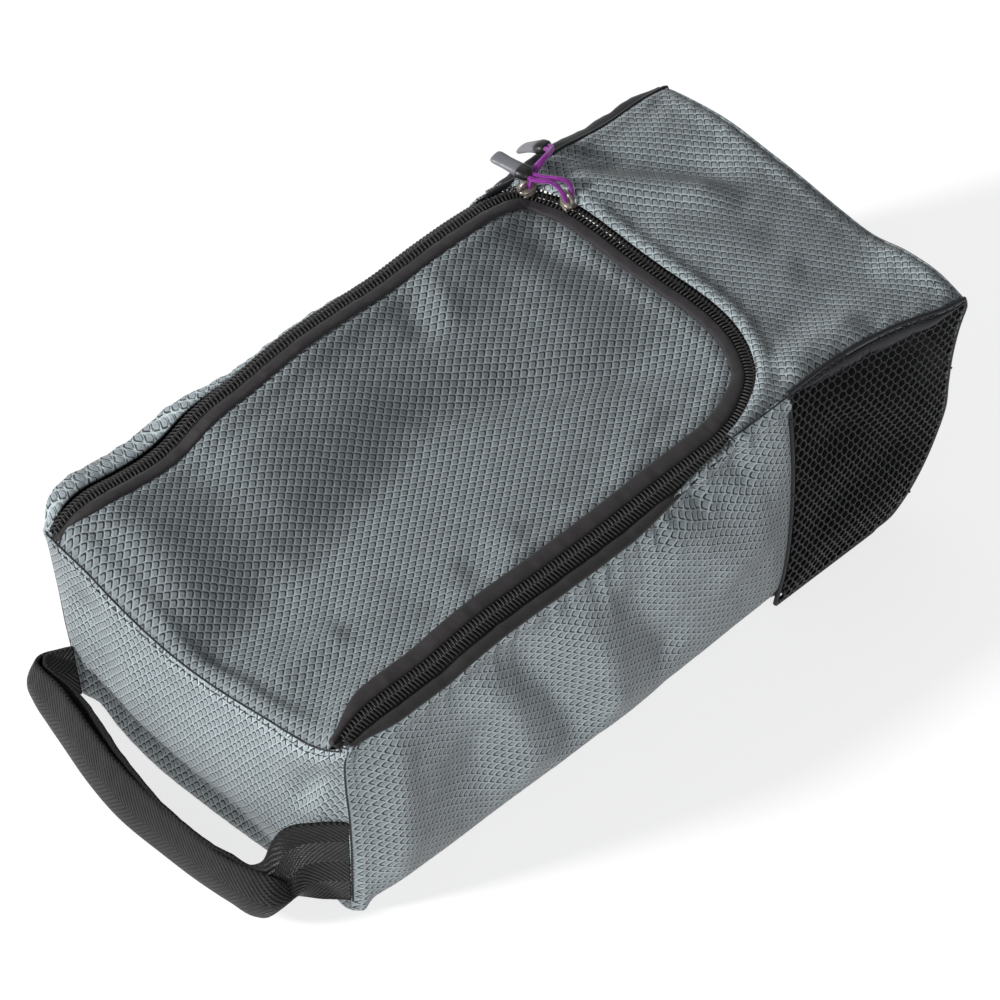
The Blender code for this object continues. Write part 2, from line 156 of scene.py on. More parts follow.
def wave2(x, y, seed, base):
    """A smooth repeatable two-way wobble."""
    draw = np.random.default_rng(seed)
    out = 0
    for _ in range(7):
        angle = 6.28 * draw.random()
        rate = (0.6 + 1.4 * draw.random()) / base
        turn = 2 * math.pi * rate * (x * math.cos(angle) + y * math.sin(angle))
        out = out + np.sin(turn + 6.28 * draw.random()) / (0.8 + rate * base)
    return out / 3.2


def to_segment(x, y, start, end):
    """Distance to a segment, signed side, and how far along it (0..1)."""
    dx, dy = end[0] - start[0], end[1] - start[1]
    length = math.hypot(dx, dy)
    along = ((x - start[0]) * dx + (y - start[1]) * dy) / (length * length)
    held = np.clip(along, 0, 1)
    side = ((x - start[0]) * dy - (y - start[1]) * dx) / length
    return np.hypot(x - start[0] - held * dx, y - start[1] - held * dy), side, along


def crease(x, y, height, width, points, end=0.25):
    """A soft ridge (or a valley, if height is negative) along a bent line, fading over
    the share end of its length at either end."""
    nearest = np.full(np.shape(x), 1e9)
    along = np.zeros(np.shape(x))
    count = len(points) - 1
    for i in range(count):
        distance, _, part = to_segment(x, y, points[i], points[i + 1])
        hit = distance < nearest
        nearest = np.where(hit, distance, nearest)
        along = np.where(hit, (i + np.clip(part, 0, 1)) / count, along)
    fade = step(along, 0, end) * (1 - step(along, 1 - end, 1))
    return height * np.exp(-((nearest / width) ** 2)) * (0.15 + 0.85 * fade)


def creases(x, y, table):
    """Sum of creases; each row is height, width and the points of the line."""
    return sum(crease(x, y, *row) for row in table)


def tilt(x, y, start, end, height, width):
    """A step across a line: up on one side and down on the other, fading out."""
    _, side, along = to_segment(x, y, start, end)
    fade = step(along, -0.1, 0.25) * (1 - step(along, 0.75, 1.1))
    return height * fade * (side / width) * np.exp(-((side / width) ** 2))


# =============================================================== shader building


def operator(operation, swapped=False):
    """A Python operator that builds a Math node."""
    def build(self, other):
        pair = (other, self) if swapped else (self, other)
        return self.shader.math(operation, *pair)
    return build


class Signal:
    """An output socket; arithmetic on it builds Math nodes."""

    def __init__(self, shader, socket):
        self.shader = shader
        self.socket = socket

    __add__, __radd__ = operator("ADD"), operator("ADD", swapped=True)
    __sub__, __rsub__ = operator("SUBTRACT"), operator("SUBTRACT", swapped=True)
    __mul__ = operator("MULTIPLY")
    __truediv__ = operator("DIVIDE")
    __pow__ = operator("POWER")

    def apply(self, operation, second=0.0):
        return self.shader.math(operation, self, second)

    def sine(self, period):
        return (self * (math.tau / period)).apply("SINE")

    def ramp(self, low, high):
        """Smooth rise from 0 at low to 1 at high."""
        node = self.shader.node("ShaderNodeMapRange", interpolation_type="SMOOTHSTEP", clamp=True)
        self.shader.put(node.inputs["Value"], self)
        node.inputs["From Min"].default_value = low
        node.inputs["From Max"].default_value = high
        return Signal(self.shader, node.outputs[0])


class Shader:
    """A material and short ways to add nodes to it."""

    def __init__(self, name):
        self.material = bpy.data.materials.new(name)
        self.material.use_nodes = True
        self.tree = self.material.node_tree
        self.surface = self.tree.nodes["Principled BSDF"]

    def node(self, kind, **props):
        node = self.tree.nodes.new(kind)
        for key, value in props.items():
            setattr(node, key, value)
        return node

    def put(self, socket, value):
        if isinstance(value, Signal):
            self.tree.links.new(value.socket, socket)
        elif isinstance(value, tuple):
            socket.default_value = (*value, 1)
        else:
            socket.default_value = value

    def math(self, operation, first, second):
        node = self.node("ShaderNodeMath", operation=operation)
        for socket, value in zip(node.inputs, (first, second, 0.0)):
            self.put(socket, value)
        return Signal(self, node.outputs[0])

    def mix(self, factor, low, high):
        node = self.node("ShaderNodeMix", data_type="RGBA")
        for index, value in ((0, factor), (6, low), (7, high)):
            self.put(node.inputs[index], value)
        return Signal(self, node.outputs[2])

    def scale(self, colour, factor):
        node = self.node("ShaderNodeVectorMath", operation="SCALE")
        self.put(node.inputs[0], colour)
        self.put(node.inputs["Scale"], factor)
        return Signal(self, node.outputs[0])

    def noise(self, scale, detail, rough=0.5):
        """Noise over the rest position, so that it moves with the cloth."""
        node = self.node("ShaderNodeTexNoise")
        node.inputs["Scale"].default_value = scale
        node.inputs["Detail"].default_value = detail
        node.inputs["Roughness"].default_value = rough
        rest = self.node("ShaderNodeAttribute", attribute_name="rest")
        self.tree.links.new(rest.outputs["Vector"], node.inputs["Vector"])
        return Signal(self, node.outputs["Fac"])

    def cell_noise(self, x, y):
        """One random value for each whole step of x and y."""
        node = self.node("ShaderNodeTexWhiteNoise", noise_dimensions="2D")
        pair = self.node("ShaderNodeCombineXYZ")
        self.put(pair.inputs[0], x.apply("FLOOR"))
        self.put(pair.inputs[1], y.apply("FLOOR"))
        self.tree.links.new(pair.outputs[0], node.inputs["Vector"])
        return Signal(self, node.outputs["Value"])

    def uv(self):
        source = self.node("ShaderNodeUVMap", uv_map="UVMap")
        split = self.node("ShaderNodeSeparateXYZ")
        self.tree.links.new(source.outputs[0], split.inputs[0])
        return Signal(self, split.outputs[0]), Signal(self, split.outputs[1])

    def attribute(self, name):
        node = self.node("ShaderNodeAttribute", attribute_name=name)
        return Signal(self, node.outputs["Fac"])

    def bump(self, height, distance, strength=1.0):
        node = self.node("ShaderNodeBump")
        node.inputs["Strength"].default_value = strength
        node.inputs["Distance"].default_value = distance
        self.put(node.inputs["Height"], height)
        return Signal(self, node.outputs[0])

    def finish(self, colour, rough, normal=None, metallic=0.0, sheen=0.0, sheen_rough=0.4,
               specular=0.5):
        inputs = self.surface.inputs
        self.put(inputs["Base Color"], colour)
        self.put(inputs["Roughness"], rough)
        self.put(inputs["Metallic"], metallic)
        self.put(inputs["Specular IOR Level"], specular)
        if sheen:
            inputs["Sheen Weight"].default_value = sheen
            inputs["Sheen Roughness"].default_value = sheen_rough
        if normal is not None:
            self.put(inputs["Normal"], normal)
        return self.material


def srgb(*channels):
    """Linear colour from 0-255 sRGB channels."""
    shares = [c / 255 for c in channels]
    return tuple(c / 12.92 if c <= 0.04045 else ((c + 0.055) / 1.055) ** 2.4 for c in shares)


def scaled(colour, factor, lift=0.0):
    return tuple(min(1, c * factor + lift) for c in colour)


# =============================================================== materials

WEAVE_GROUND = srgb(150, 160, 162)
WEAVE_CELL = srgb(122, 130, 135)
WEAVE_HOOK = srgb(22, 27, 33)


def weave_material(name, panel_light_gain, pitch=(0.00202, 0.00265)):
    """Coarse dobby weave: soft raised cells on a diamond lattice, each with a dark
    rounded hook round its forward corner and a small dark middle, on a paler ground,
    with a fine thread grain; worn pale along the seams. The gain argument scales the
    whole panel's tone as painted light and shade, lighter or darker for how the light
    falls on that panel, and the per-vertex painted slope tone is scaled with it."""
    mat = Shader(name)
    along, across = mat.uv()
    wobble = (mat.noise(scale=60, detail=2) - 0.5) * 0.0012
    along = along + wobble
    across = across - wobble
    # diamond lattice and the rounded radius inside each cell
    along_cells = along / (2 * pitch[0])
    across_cells = across / (2 * pitch[1])
    first = along_cells + across_cells
    second = across_cells - along_cells
    in_first = first.apply("FRACT") - 0.5
    in_second = second.apply("FRACT") - 0.5
    cubes = in_first.apply("ABSOLUTE") ** 3.0 + in_second.apply("ABSOLUTE") ** 3.0
    radius = cubes ** (1 / 3.0)
    forward = in_first + in_second
    ragged = (mat.noise(scale=1500, detail=2) - 0.5) * 0.10
    hook = (radius + ragged).ramp(low=0.30, high=0.39) * forward.ramp(low=-0.06, high=0.24)
    hook = hook * (1.0 - radius.ramp(low=0.48, high=0.54) * 0.6)
    cell = 1.0 - radius.ramp(low=0.26, high=0.46)
    middle = 1.0 - radius.ramp(low=0.02, high=0.10)
    # tone: from cell to cell, slowly over the cloth and in the grain; then each panel's painted
    # light and shade gain and the per-vertex painted slope light and shade
    grain = mat.noise(scale=2600, detail=2)
    tone = 0.92 + mat.cell_noise(first, second) * 0.14
    tone = tone * (0.90 + mat.noise(scale=16, detail=3, rough=0.55) * 0.2)
    tone = tone * (0.86 + grain * 0.28)
    tone = tone * (panel_light_gain + mat.attribute("painted_slope_shade") * panel_light_gain)
    colour = mat.mix(cell, WEAVE_GROUND, WEAVE_CELL)
    colour = mat.mix(middle * 0.45, colour, WEAVE_HOOK)
    colour = mat.mix(hook * 0.97, colour, WEAVE_HOOK)
    # worn, slightly fluffed edges beside the seams
    worn = 1.0 - mat.attribute("seam_d").ramp(low=0.0004, high=0.0045)
    worn = worn * mat.noise(scale=420, detail=3).ramp(low=0.40, high=0.75)
    colour = mat.mix(worn * 0.30, colour, scaled(WEAVE_GROUND, 1.25, lift=0.02))
    colour = mat.scale(colour, tone)
    height = cell * 0.9 + (along + across).sine(period=0.00042) * 0.05
    height = height - hook * 0.9 + grain * 0.12
    return mat.finish(colour, 0.42 + hook * 0.25, mat.bump(height, distance=0.00060),
                      sheen=0.12, sheen_rough=0.4, specular=0.40)


def lining_material():
    mat = Shader("dark_lining")
    along, across = mat.uv()
    weave = along.sine(period=0.0007) * across.sine(period=0.0007)
    patches = mat.noise(scale=60, detail=3)
    colour = mat.mix(patches, (0.011, 0.012, 0.013), (0.024, 0.025, 0.027))
    return mat.finish(colour, 0.75, mat.bump(weave, distance=0.00012, strength=0.5), sheen=0.1)


def tape_material(name, base, pitch=0.00045, sheen=0.15):
    """Plain ribbon: fine rib across, a soft lengthwise sheen, lint here and there."""
    mat = Shader(name)
    along, across = mat.uv()
    patches = mat.noise(scale=130, detail=4, rough=0.6)
    lint = mat.noise(scale=1700, detail=1).ramp(low=0.70, high=0.82)
    colour = mat.mix(patches, scaled(base, 0.8), scaled(base, 1.22))
    colour = mat.mix(lint * 0.25, colour, (0.12, 0.12, 0.12))
    height = along.sine(period=pitch) * 0.6 + across.sine(period=pitch * 1.3) * 0.4
    height = height + mat.noise(scale=300, detail=3) * 1.6
    return mat.finish(colour, 0.62, mat.bump(height, distance=0.00010, strength=0.6),
                      sheen=sheen, sheen_rough=0.35, specular=0.35)


def coil_material():
    mat = Shader("nylon_coil")
    colour = mat.mix(mat.noise(scale=500, detail=3), (0.014, 0.014, 0.015), (0.034, 0.033, 0.032))
    rough = 0.42 + mat.noise(scale=220, detail=2) * 0.18
    fine = mat.noise(scale=1800, detail=2)
    return mat.finish(colour, rough, mat.bump(fine, distance=0.00006, strength=0.5),
                      specular=0.35)


def metal_material():
    """Dull metal, paler where it is worn."""
    mat = Shader("gunmetal")
    patches = mat.noise(scale=90, detail=4, rough=0.6)
    worn = mat.noise(scale=420, detail=4, rough=0.65).ramp(low=0.52, high=0.70)
    colour = mat.mix(patches, (0.20, 0.175, 0.150), (0.34, 0.30, 0.255))
    colour = mat.mix(worn * 0.5, colour, (0.55, 0.50, 0.45))
    rough = 0.24 + mat.noise(scale=300, detail=3) * 0.2
    fine = mat.noise(scale=700, detail=3)
    return mat.finish(colour, rough, mat.bump(fine, distance=0.00008, strength=0.5),
                      metallic=0.55)


def cord_material():
    """Braided cord: two crossing sets of strands on the round, their crowns painted paler and the
    dips between them darker as painted shade.
    """
    mat = Shader("purple_cord")
    along, around = mat.uv()
    length_rate, round_rate = math.tau / 0.0012, math.tau * 4
    one_way = (along * length_rate + around * round_rate).apply("SINE")
    other_way = (along * length_rate - around * round_rate).apply("SINE")
    height = one_way * other_way
    # painted shade: darker where the braid dips
    colour = mat.mix(height.ramp(low=-0.9, high=0.5), (0.12, 0.006, 0.15), (0.33, 0.022, 0.37))
    colour = mat.mix(mat.noise(scale=300, detail=3) * 0.2, colour, (0.42, 0.06, 0.46))
    return mat.finish(colour, 0.42, mat.bump(height, distance=0.00014, strength=0.8),
                      sheen=0.35, sheen_rough=0.3)


def plastic_material(name, dark, pale, rough):
    """Moulded plastic with a fine speckle and paler scuffs."""
    mat = Shader(name)
    speckle = mat.noise(scale=1100, detail=3, rough=0.7)
    scuff = mat.noise(scale=260, detail=5, rough=0.7).ramp(low=0.60, high=0.74)
    colour = mat.mix(mat.noise(scale=45, detail=3), dark, pale)
    colour = mat.mix(scuff * 0.22, colour, scaled(pale, 1.8, lift=0.02))
    return mat.finish(colour, (rough - 0.06) + speckle * 0.16,
                      mat.bump(speckle, distance=0.00007, strength=0.6))


def webbing_material():
    """Herringbone webbing: diagonal twill lines that turn back at fixed columns,
    a fuzzy selvedge, and a satin sheen. The raised twill lines are painted paler and the
    grooves between them darker: painted light and shade on the twill."""
    mat = Shader("black_webbing")
    along, across = mat.uv()             # across is 0 in the middle of the strap
    column = 0.0120                      # width of one herringbone column
    zigzag = (across / column).apply("PINGPONG", 1.0)
    line = (along / 0.00250 + zigzag * (column / 0.00230)).sine(period=1)
    patches = mat.noise(scale=120, detail=4, rough=0.6)
    fuzz = mat.noise(scale=2400, detail=2).ramp(low=0.55, high=0.75)
    edge = across.apply("ABSOLUTE").ramp(low=0.0208, high=0.0236)
    # painted light along the raised twill lines and painted shade in the grooves between them
    colour = mat.mix(line.ramp(low=-0.8, high=0.9),
                     (0.0008, 0.0008, 0.0010), (0.0120, 0.0114, 0.0126))
    colour = mat.mix(patches * 0.4, colour, (0.0055, 0.0053, 0.0058))
    colour = mat.mix(fuzz * (edge * 0.8), colour, (0.026, 0.024, 0.024))
    rough = 0.40 + (edge + patches * 0.3) * 0.3
    height = line + across.sine(period=0.00085) * 0.35
    height = height + (fuzz * edge) * 1.4
    return mat.finish(colour, rough, mat.bump(height, distance=0.00042),
                      sheen=0.02, sheen_rough=0.35, specular=0.36)


def net_material():
    mat = Shader("black_net")
    colour = mat.mix(mat.noise(scale=900, detail=3),
                     (0.0045, 0.0048, 0.0065), (0.013, 0.0135, 0.017))
    fine = mat.noise(scale=2600, detail=2)
    return mat.finish(colour, 0.45, mat.bump(fine, distance=0.00008, strength=0.7),
                      sheen=0.06, specular=0.35)


def thread_material():
    """Twisted thread, painted darker in the grooves of its twist as painted shade."""
    mat = Shader("seam_thread")
    along, around = mat.uv()
    twist = (along + around * 0.004).sine(period=0.0006)
    # painted shade: darker in the grooves of the twist
    colour = mat.mix(twist.ramp(low=-1, high=1), (0.008, 0.008, 0.009), (0.030, 0.030, 0.032))
    return mat.finish(colour, 0.55, mat.bump(twist, distance=0.00010, strength=0.7),
                      specular=0.4)


# the same weave four times: each panel's copy is painted lighter or darker by its gain, a painted
# light and shade for how brightly the light falls on that panel
LID_WEAVE = weave_material("grey_weave_lid", panel_light_gain=0.84)
SIDE_WEAVE = weave_material("grey_weave_side", panel_light_gain=1.15, pitch=(0.00198, 0.00300))
END_WEAVE = weave_material("grey_weave_end", panel_light_gain=1.18)
TOE_WEAVE = weave_material("grey_weave_toe", panel_light_gain=0.96)
LINING = lining_material()
BAND = tape_material("charcoal_band", (0.026, 0.023, 0.025), sheen=0.10)
TAPE = tape_material("zip_tape", (0.022, 0.020, 0.021), sheen=0.08)
BINDING = tape_material("binding_grosgrain", (0.020, 0.020, 0.022), pitch=0.0011)
COIL = coil_material()
METAL = metal_material()
CORD = cord_material()
TAB = plastic_material("grey_tab", (0.125, 0.127, 0.142), (0.185, 0.187, 0.205), rough=0.42)
COLLAR = plastic_material("black_collar", (0.006, 0.006, 0.007), (0.013, 0.013, 0.014),
                          rough=0.38)
WEBBING = webbing_material()
NET = net_material()
THREAD = thread_material()

# =============================================================== mesh builders


def set_uv(mesh, uv):
    """Per-vertex UV pairs written to every loop."""
    layer = mesh.uv_layers.new(name="UVMap")
    index = np.empty(len(mesh.loops), int)
    mesh.loops.foreach_get("vertex_index", index)
    layer.data.foreach_set("uv", np.asarray(uv, np.float32)[index].ravel())


def set_attribute(mesh, name, values):
    layer = mesh.attributes.new(name, "FLOAT", "POINT")
    layer.data.foreach_set("value", np.asarray(values, np.float32))


def recalculate(mesh, ring=None):
    """Turns the faces outward. Given a ring size, first closes the first and last rings."""
    bm = bmesh.new()
    bm.from_mesh(mesh)
    if ring:
        verts = list(bm.verts)
        for end in (verts[:ring], verts[-ring:]):
            bm.faces.new(end)
    bmesh.ops.recalc_face_normals(bm, faces=bm.faces)
    bm.to_mesh(mesh)
    bm.free()


def link_mesh(name, mesh, material):
    """An object in the scene, smooth shaded, with its rest positions kept."""
    ob = bpy.data.objects.new(name, mesh)
    bpy.context.scene.collection.objects.link(ob)
    mesh.materials.append(material)
    places = np.empty(len(mesh.vertices) * 3)
    mesh.vertices.foreach_get("co", places)
    rest = mesh.attributes.new("rest", "FLOAT_VECTOR", "POINT")
    rest.data.foreach_set("vector", places.astype(np.float32))
    mesh.polygons.foreach_set("use_smooth", np.ones(len(mesh.polygons), bool))
    mesh.update()
    return ob


def mesh_object(name, points, faces, uv, material, seam_d=None, outward=False):
    mesh = bpy.data.meshes.new(name)
    mesh.from_pydata(points.reshape(-1, 3).tolist(), [], faces)
    set_uv(mesh, uv.reshape(-1, 2))
    if seam_d is not None:
        set_attribute(mesh, "seam_d", seam_d.ravel())
    if outward:
        recalculate(mesh)
    return link_mesh(name, mesh, material)


def uv_grid(along, around):
    return np.stack(np.broadcast_arrays(along[:, None], around[None, :]), -1)


def grid(name, points, uv, material, seam_d=None, flip=False, closed=False):
    """A sheet from a rows x columns array of points; closed joins last column to first."""
    rows, columns = points.shape[:2]
    index = np.arange(rows * columns).reshape(rows, columns)
    used = columns if closed else columns - 1
    after = np.roll(index, -1, 1)
    corners = [index[:-1, :used], after[:-1, :used], after[1:, :used], index[1:, :used]]
    if flip:
        corners.reverse()
    faces = np.stack([corner.ravel() for corner in corners], 1).tolist()
    return mesh_object(name, points, faces, uv, material, seam_d)


def closed_strip(name, points, along, around, material, seam_d=None):
    """A solid strip from rows of closed sections."""
    ob = grid(name, points, uv_grid(along, around), material, seam_d, closed=True)
    recalculate(ob.data, ring=points.shape[1])
    return ob


def inside(points, outline):
    """Which 2D points lie inside a closed outline."""
    result = np.zeros(len(points), bool)
    x, y = points[:, 0], points[:, 1]
    for (x1, y1), (x0, y0) in zip(outline, np.roll(outline, 1, 0)):
        spans = (y1 > y) != (y0 > y)
        with np.errstate(divide="ignore", invalid="ignore"):
            crossing = (x0 - x1) * (y - y1) / (y0 - y1) + x1
        result ^= spans & (x < crossing)
    return result


def edge_distance(points, outline):
    """Distance from 2D points to a closed outline."""
    nearest = np.full(len(points), 1e9)
    for start, end in zip(outline, np.roll(outline, -1, 0)):
        edge = end - start
        square = (edge**2).sum()
        if square < 1e-16:
            continue
        t = np.clip(((points - start) @ edge) / square, 0, 1)
        nearest = np.minimum(nearest, np.hypot(*(points - start - t[:, None] * edge).T))
    return nearest


def face_towards(ob, way):
    """Turns a sheet so that its outer face looks along way."""
    total = sum((p.normal * p.area for p in ob.data.polygons), Vector())
    if total.dot(Vector(way)) < 0:
        ob.data.flip_normals()
    return ob


def sheet(name, outline, spacing, lift, material, uv=lambda x, y: (x, y)):
    """A sheet over the area inside a closed 2D outline; lift gives each point's place
    from its x and y. It faces up."""
    low, high = outline.min(0), outline.max(0)
    columns = np.arange(low[0] + spacing / 2, high[0], spacing)
    rows = np.arange(low[1] + spacing / 2, high[1], spacing)
    x, y = np.meshgrid(columns, rows)
    x[1::2] += spacing / 2
    filling = np.stack([x.ravel(), y.ravel()], 1)
    filling = filling[inside(filling, outline)]
    filling = filling[edge_distance(filling, outline) > spacing * 0.45]
    count = len(outline)
    edges = [(i, (i + 1) % count) for i in range(count)]
    points = [Vector(p) for p in outline] + [Vector(p) for p in filling]
    verts, _, faces, *_ = delaunay_2d_cdt(points, edges, [list(range(count))], 1, 1e-7)
    flat = np.array([tuple(v) for v in verts])
    x, y = flat[:, 0], flat[:, 1]
    ob = mesh_object(name, lift(x, y), [list(f) for f in faces], np.stack(uv(x, y), 1), material,
                     seam_d=edge_distance(flat, outline))
    return face_towards(ob, (0, 0, 1))


def thicken(ob, thickness, offset, **settings):
    """Gives a sheet real thickness, applied to the mesh."""
    solid = ob.modifiers.new("thick", "SOLIDIFY")
    solid.thickness = thickness
    solid.offset = offset
    for key, value in settings.items():
        setattr(solid, key, value)
    depsgraph = bpy.context.evaluated_depsgraph_get()
    mesh = bpy.data.meshes.new_from_object(ob.evaluated_get(depsgraph))
    old = ob.data
    ob.modifiers.clear()
    ob.data = mesh
    mesh.name = old.name
    bpy.data.meshes.remove(old)
    return ob


def cloth(ob, facing, pile, strength, low=-0.36, high=0.42, rest=None, thickness=CLOTH):
    """Makes a sheet into lined cloth. Each vertex gets a painted light and shade tone:
    slopes that face along the given light direction are painted lighter and those that
    face away darker, measured against the panel's usual facing (or rest), times strength,
    between low and high."""
    face_towards(ob, facing)
    mesh = ob.data
    normals = np.empty(len(mesh.vertices) * 3)
    mesh.vertices.foreach_get("normal", normals)
    slope = normals.reshape(-1, 3) @ unit(np.asarray(pile, float))
    slope = slope - (np.median(slope) if rest is None else rest)
    # painted light and shade: a tone from how each slope faces the light direction
    set_attribute(mesh, "painted_slope_shade", np.clip(slope * strength, low, high))
    mesh.materials.append(LINING)
    return thicken(ob, thickness, -1.0, use_even_offset=True, thickness_clamp=1.0,
                   material_offset=1, material_offset_rim=0)


def tube_faces(sections, sides, start=0):
    """Faces of one capped tube whose rings begin at vertex start."""
    faces = []
    for i in range(sections - 1):
        here, there = start + i * sides, start + (i + 1) * sides
        for j in range(sides):
            after = (j + 1) % sides
            faces.append([here + j, here + after, there + after, there + j])
    last = start + (sections - 1) * sides
    faces.append(list(range(start + sides - 1, start - 1, -1)))
    faces.append(list(range(last, last + sides)))
    return faces


def tube(name, path, radius, material, sides=8, flat=1.0):
    """A round tube along points, its ends rounded off; flat squashes one axis."""
    tangents = unit(np.gradient(path, axis=0), tiny=1e-12)
    across = unit(np.cross(tangents[0], (0.13, 0.21, 0.97)))
    angles = np.linspace(0, 2 * math.pi, sides, endpoint=False)
    rings = []
    for point, tangent in zip(path, tangents):
        across = unit(across - tangent * (across @ tangent))
        up = np.cross(tangent, across)
        rings.append([point + radius * (across * math.cos(a) + up * math.sin(a) * flat)
                      for a in angles])
    rings = np.array(rings)
    ends = []
    for i, way in ((0, -1), (-1, 1)):
        tip = path[i] + way * tangents[i] * radius * 0.55
        ends.append((tip + (rings[i] - path[i]) * 0.55)[None])
    rings = np.concatenate([ends[0], rings, ends[1]])
    length = arc_length(path)
    length = np.concatenate([[length[0] - radius], length, [length[-1] + radius]])
    return mesh_object(name, rings, tube_faces(len(rings), sides),
                       uv_grid(length, angles / (2 * math.pi)), material, outward=True)


def tube_set(name, centres, across, up, widths, heights, uv_columns, material):
    """Many short capped six-sided tubes as one mesh. centres is tubes x sections x 3;
    widths and heights are the half sizes of each section along across and up."""
    sides = 6
    count, sections = centres.shape[:2]
    angles = np.linspace(0, 2 * math.pi, sides, endpoint=False)
    cosines = (widths[:, None] * np.cos(angles))[None, :, :, None]
    sines = (heights[:, None] * np.sin(angles))[None, :, :, None]
    rings = centres[:, :, None] + across[:, :, None] * cosines + up[:, :, None] * sines
    points = rings.reshape(-1, 3)
    starts = np.arange(count) * sections * sides
    quads = []
    for i in range(sections - 1):
        here, there = starts + i * sides, starts + (i + 1) * sides
        for j in range(sides):
            after = (j + 1) % sides
            quads.append(np.stack([here + j, here + after, there + after, there + j], 1))
    starts = starts.tolist()
    last = (sections - 1) * sides
    caps = [list(range(s + sides - 1, s - 1, -1)) for s in starts]
    caps += [list(range(s + last, s + last + sides)) for s in starts]
    return mesh_object(name, points, np.concatenate(quads).tolist() + caps,
                       points[:, uv_columns], material, outward=True)


# =============================================================== the zip line

# x, y, z along the zip: up the left side, round the toe side and back down the right
ZIP_STATIONS = [
    (-0.0880, -0.1868, 0.1033), (-0.0884, -0.1794, 0.1085), (-0.0886, -0.1665, 0.1112),
    (-0.0877, -0.1452, 0.1090), (-0.0870, -0.1295, 0.1081), (-0.0873, -0.1198, 0.1084),
    (-0.0882, -0.1019, 0.1140), (-0.0885, -0.0746, 0.1164), (-0.0890, -0.0469, 0.1190),
    (-0.0890, -0.0195, 0.1183), (-0.0887, 0.0066, 0.1166), (-0.0886, 0.0338, 0.1176),
    (-0.0887, 0.0604, 0.1166), (-0.0890, 0.0800, 0.1130), (-0.0868, 0.0905, 0.1110),
    (-0.0800, 0.0970, 0.1103), (-0.0709, 0.1006, 0.1100), (-0.0606, 0.1031, 0.1100),
    (-0.0474, 0.1036, 0.1100), (-0.0218, 0.1030, 0.1100), (-0.0053, 0.1031, 0.1100),
    (0.0107, 0.1037, 0.1100), (0.0284, 0.1029, 0.1100), (0.0410, 0.1002, 0.1100),
    (0.0557, 0.0938, 0.1100), (0.0659, 0.0863, 0.1100), (0.0740, 0.0745, 0.1100),
    (0.0786, 0.0650, 0.1100), (0.0819, 0.0520, 0.1100), (0.0826, 0.0388, 0.1100),
    (0.0830, 0.0240, 0.1100), (0.0850, -0.0260, 0.1100), (0.0854, -0.0621, 0.1100),
    (0.0852, -0.0860, 0.1100), (0.0862, -0.1115, 0.1096), (0.0864, -0.1275, 0.1072),
    (0.0861, -0.1500, 0.1062), (0.0862, -0.1700, 0.1048), (0.0884, -0.1862, 0.1018),
]
ZIP_COUNT = 1480
ZIP_LINE = resample(smooth(curve(ZIP_STATIONS, ZIP_COUNT, 4000), 60), ZIP_COUNT)
ZIP_ARC = arc_length(ZIP_LINE)
ZIP_LENGTH = ZIP_ARC[-1]
ZIP_TANGENT = unit(np.gradient(ZIP_LINE, axis=0))
ZIP_OUT = unit(xyz(-ZIP_TANGENT[:, 1], ZIP_TANGENT[:, 0], 0.0))
# how far the tapes lean down outward, in radians: more on the left leg than the right
ZIP_LEAN = smooth(0.40 * np.clip(-ZIP_OUT[:, 0], 0, 1) ** 1.5
                  + 0.26 * np.clip(ZIP_OUT[:, 0], 0, 1) ** 1.5, 200)
# the zip pinches in where both ends run into the hinge seam
ZIP_PINCH = np.minimum(step(ZIP_ARC, 0.0, 0.026), step(ZIP_LENGTH - ZIP_ARC, 0.0, 0.030))
BAND_START = 0.0043                      # distance from the zip at which the band begins
CORE = 0.0042                            # half width of the teeth


def along_zip(at, values):
    """Value of an array of the zip at arc length at."""
    if values.ndim == 1:
        return np.interp(at, ZIP_ARC, values)
    return np.stack([np.interp(at, ZIP_ARC, values[:, k]) for k in range(values.shape[1])], -1)


def beside_zip(at, out, up=0.0):
    """Points beside the zip: out is outward (negative is the lid side), up is above
    the tape."""
    out = out + 0 * at
    outward, lean = along_zip(at, ZIP_OUT), along_zip(at, ZIP_LEAN)
    opened = 0.30 + 0.70 * along_zip(at, ZIP_PINCH)
    facing = outward[..., 0]
    off_left = step(facing, -1.0, -0.6)
    narrow = 1.0 - 0.32 * (1 - step(facing, 0.72, 1.0)) * off_left - 0.24 * (1 - off_left)
    core = 0.55 + 0.45 * opened
    out = np.where(out < -BAND_START, -BAND_START + (out + BAND_START) * narrow, out)
    wide = np.sign(out) * (CORE * core + (np.abs(out) - CORE) * opened)
    out = np.where(np.abs(out) > CORE, wide, out * core)
    lean = np.where(out < 0, lean * 0.55, lean)
    side = outward * np.cos(lean)[..., None]
    side[..., 2] -= np.sin(lean)
    normal = outward * np.sin(lean)[..., None]
    normal[..., 2] += np.cos(lean)
    return along_zip(at, ZIP_LINE) + side * out[..., None] + normal * (up + 0 * at)[..., None]


LEFT_LEG_END = int(np.argmax(ZIP_LINE[:, 0] > -0.0800))
RIGHT_LEG_START = ZIP_COUNT - int(np.argmax(ZIP_LINE[::-1, 0] < 0.0700))


def zip_at_left(y):
    """Arc length at which the left leg passes y."""
    return np.interp(y, ZIP_LINE[:LEFT_LEG_END, 1], ZIP_ARC[:LEFT_LEG_END])


def zip_at_right(y):
    """Arc length at which the right leg passes y."""
    return np.interp(-y, -ZIP_LINE[RIGHT_LEG_START:, 1], ZIP_ARC[RIGHT_LEG_START:])


# =============================================================== seam lines


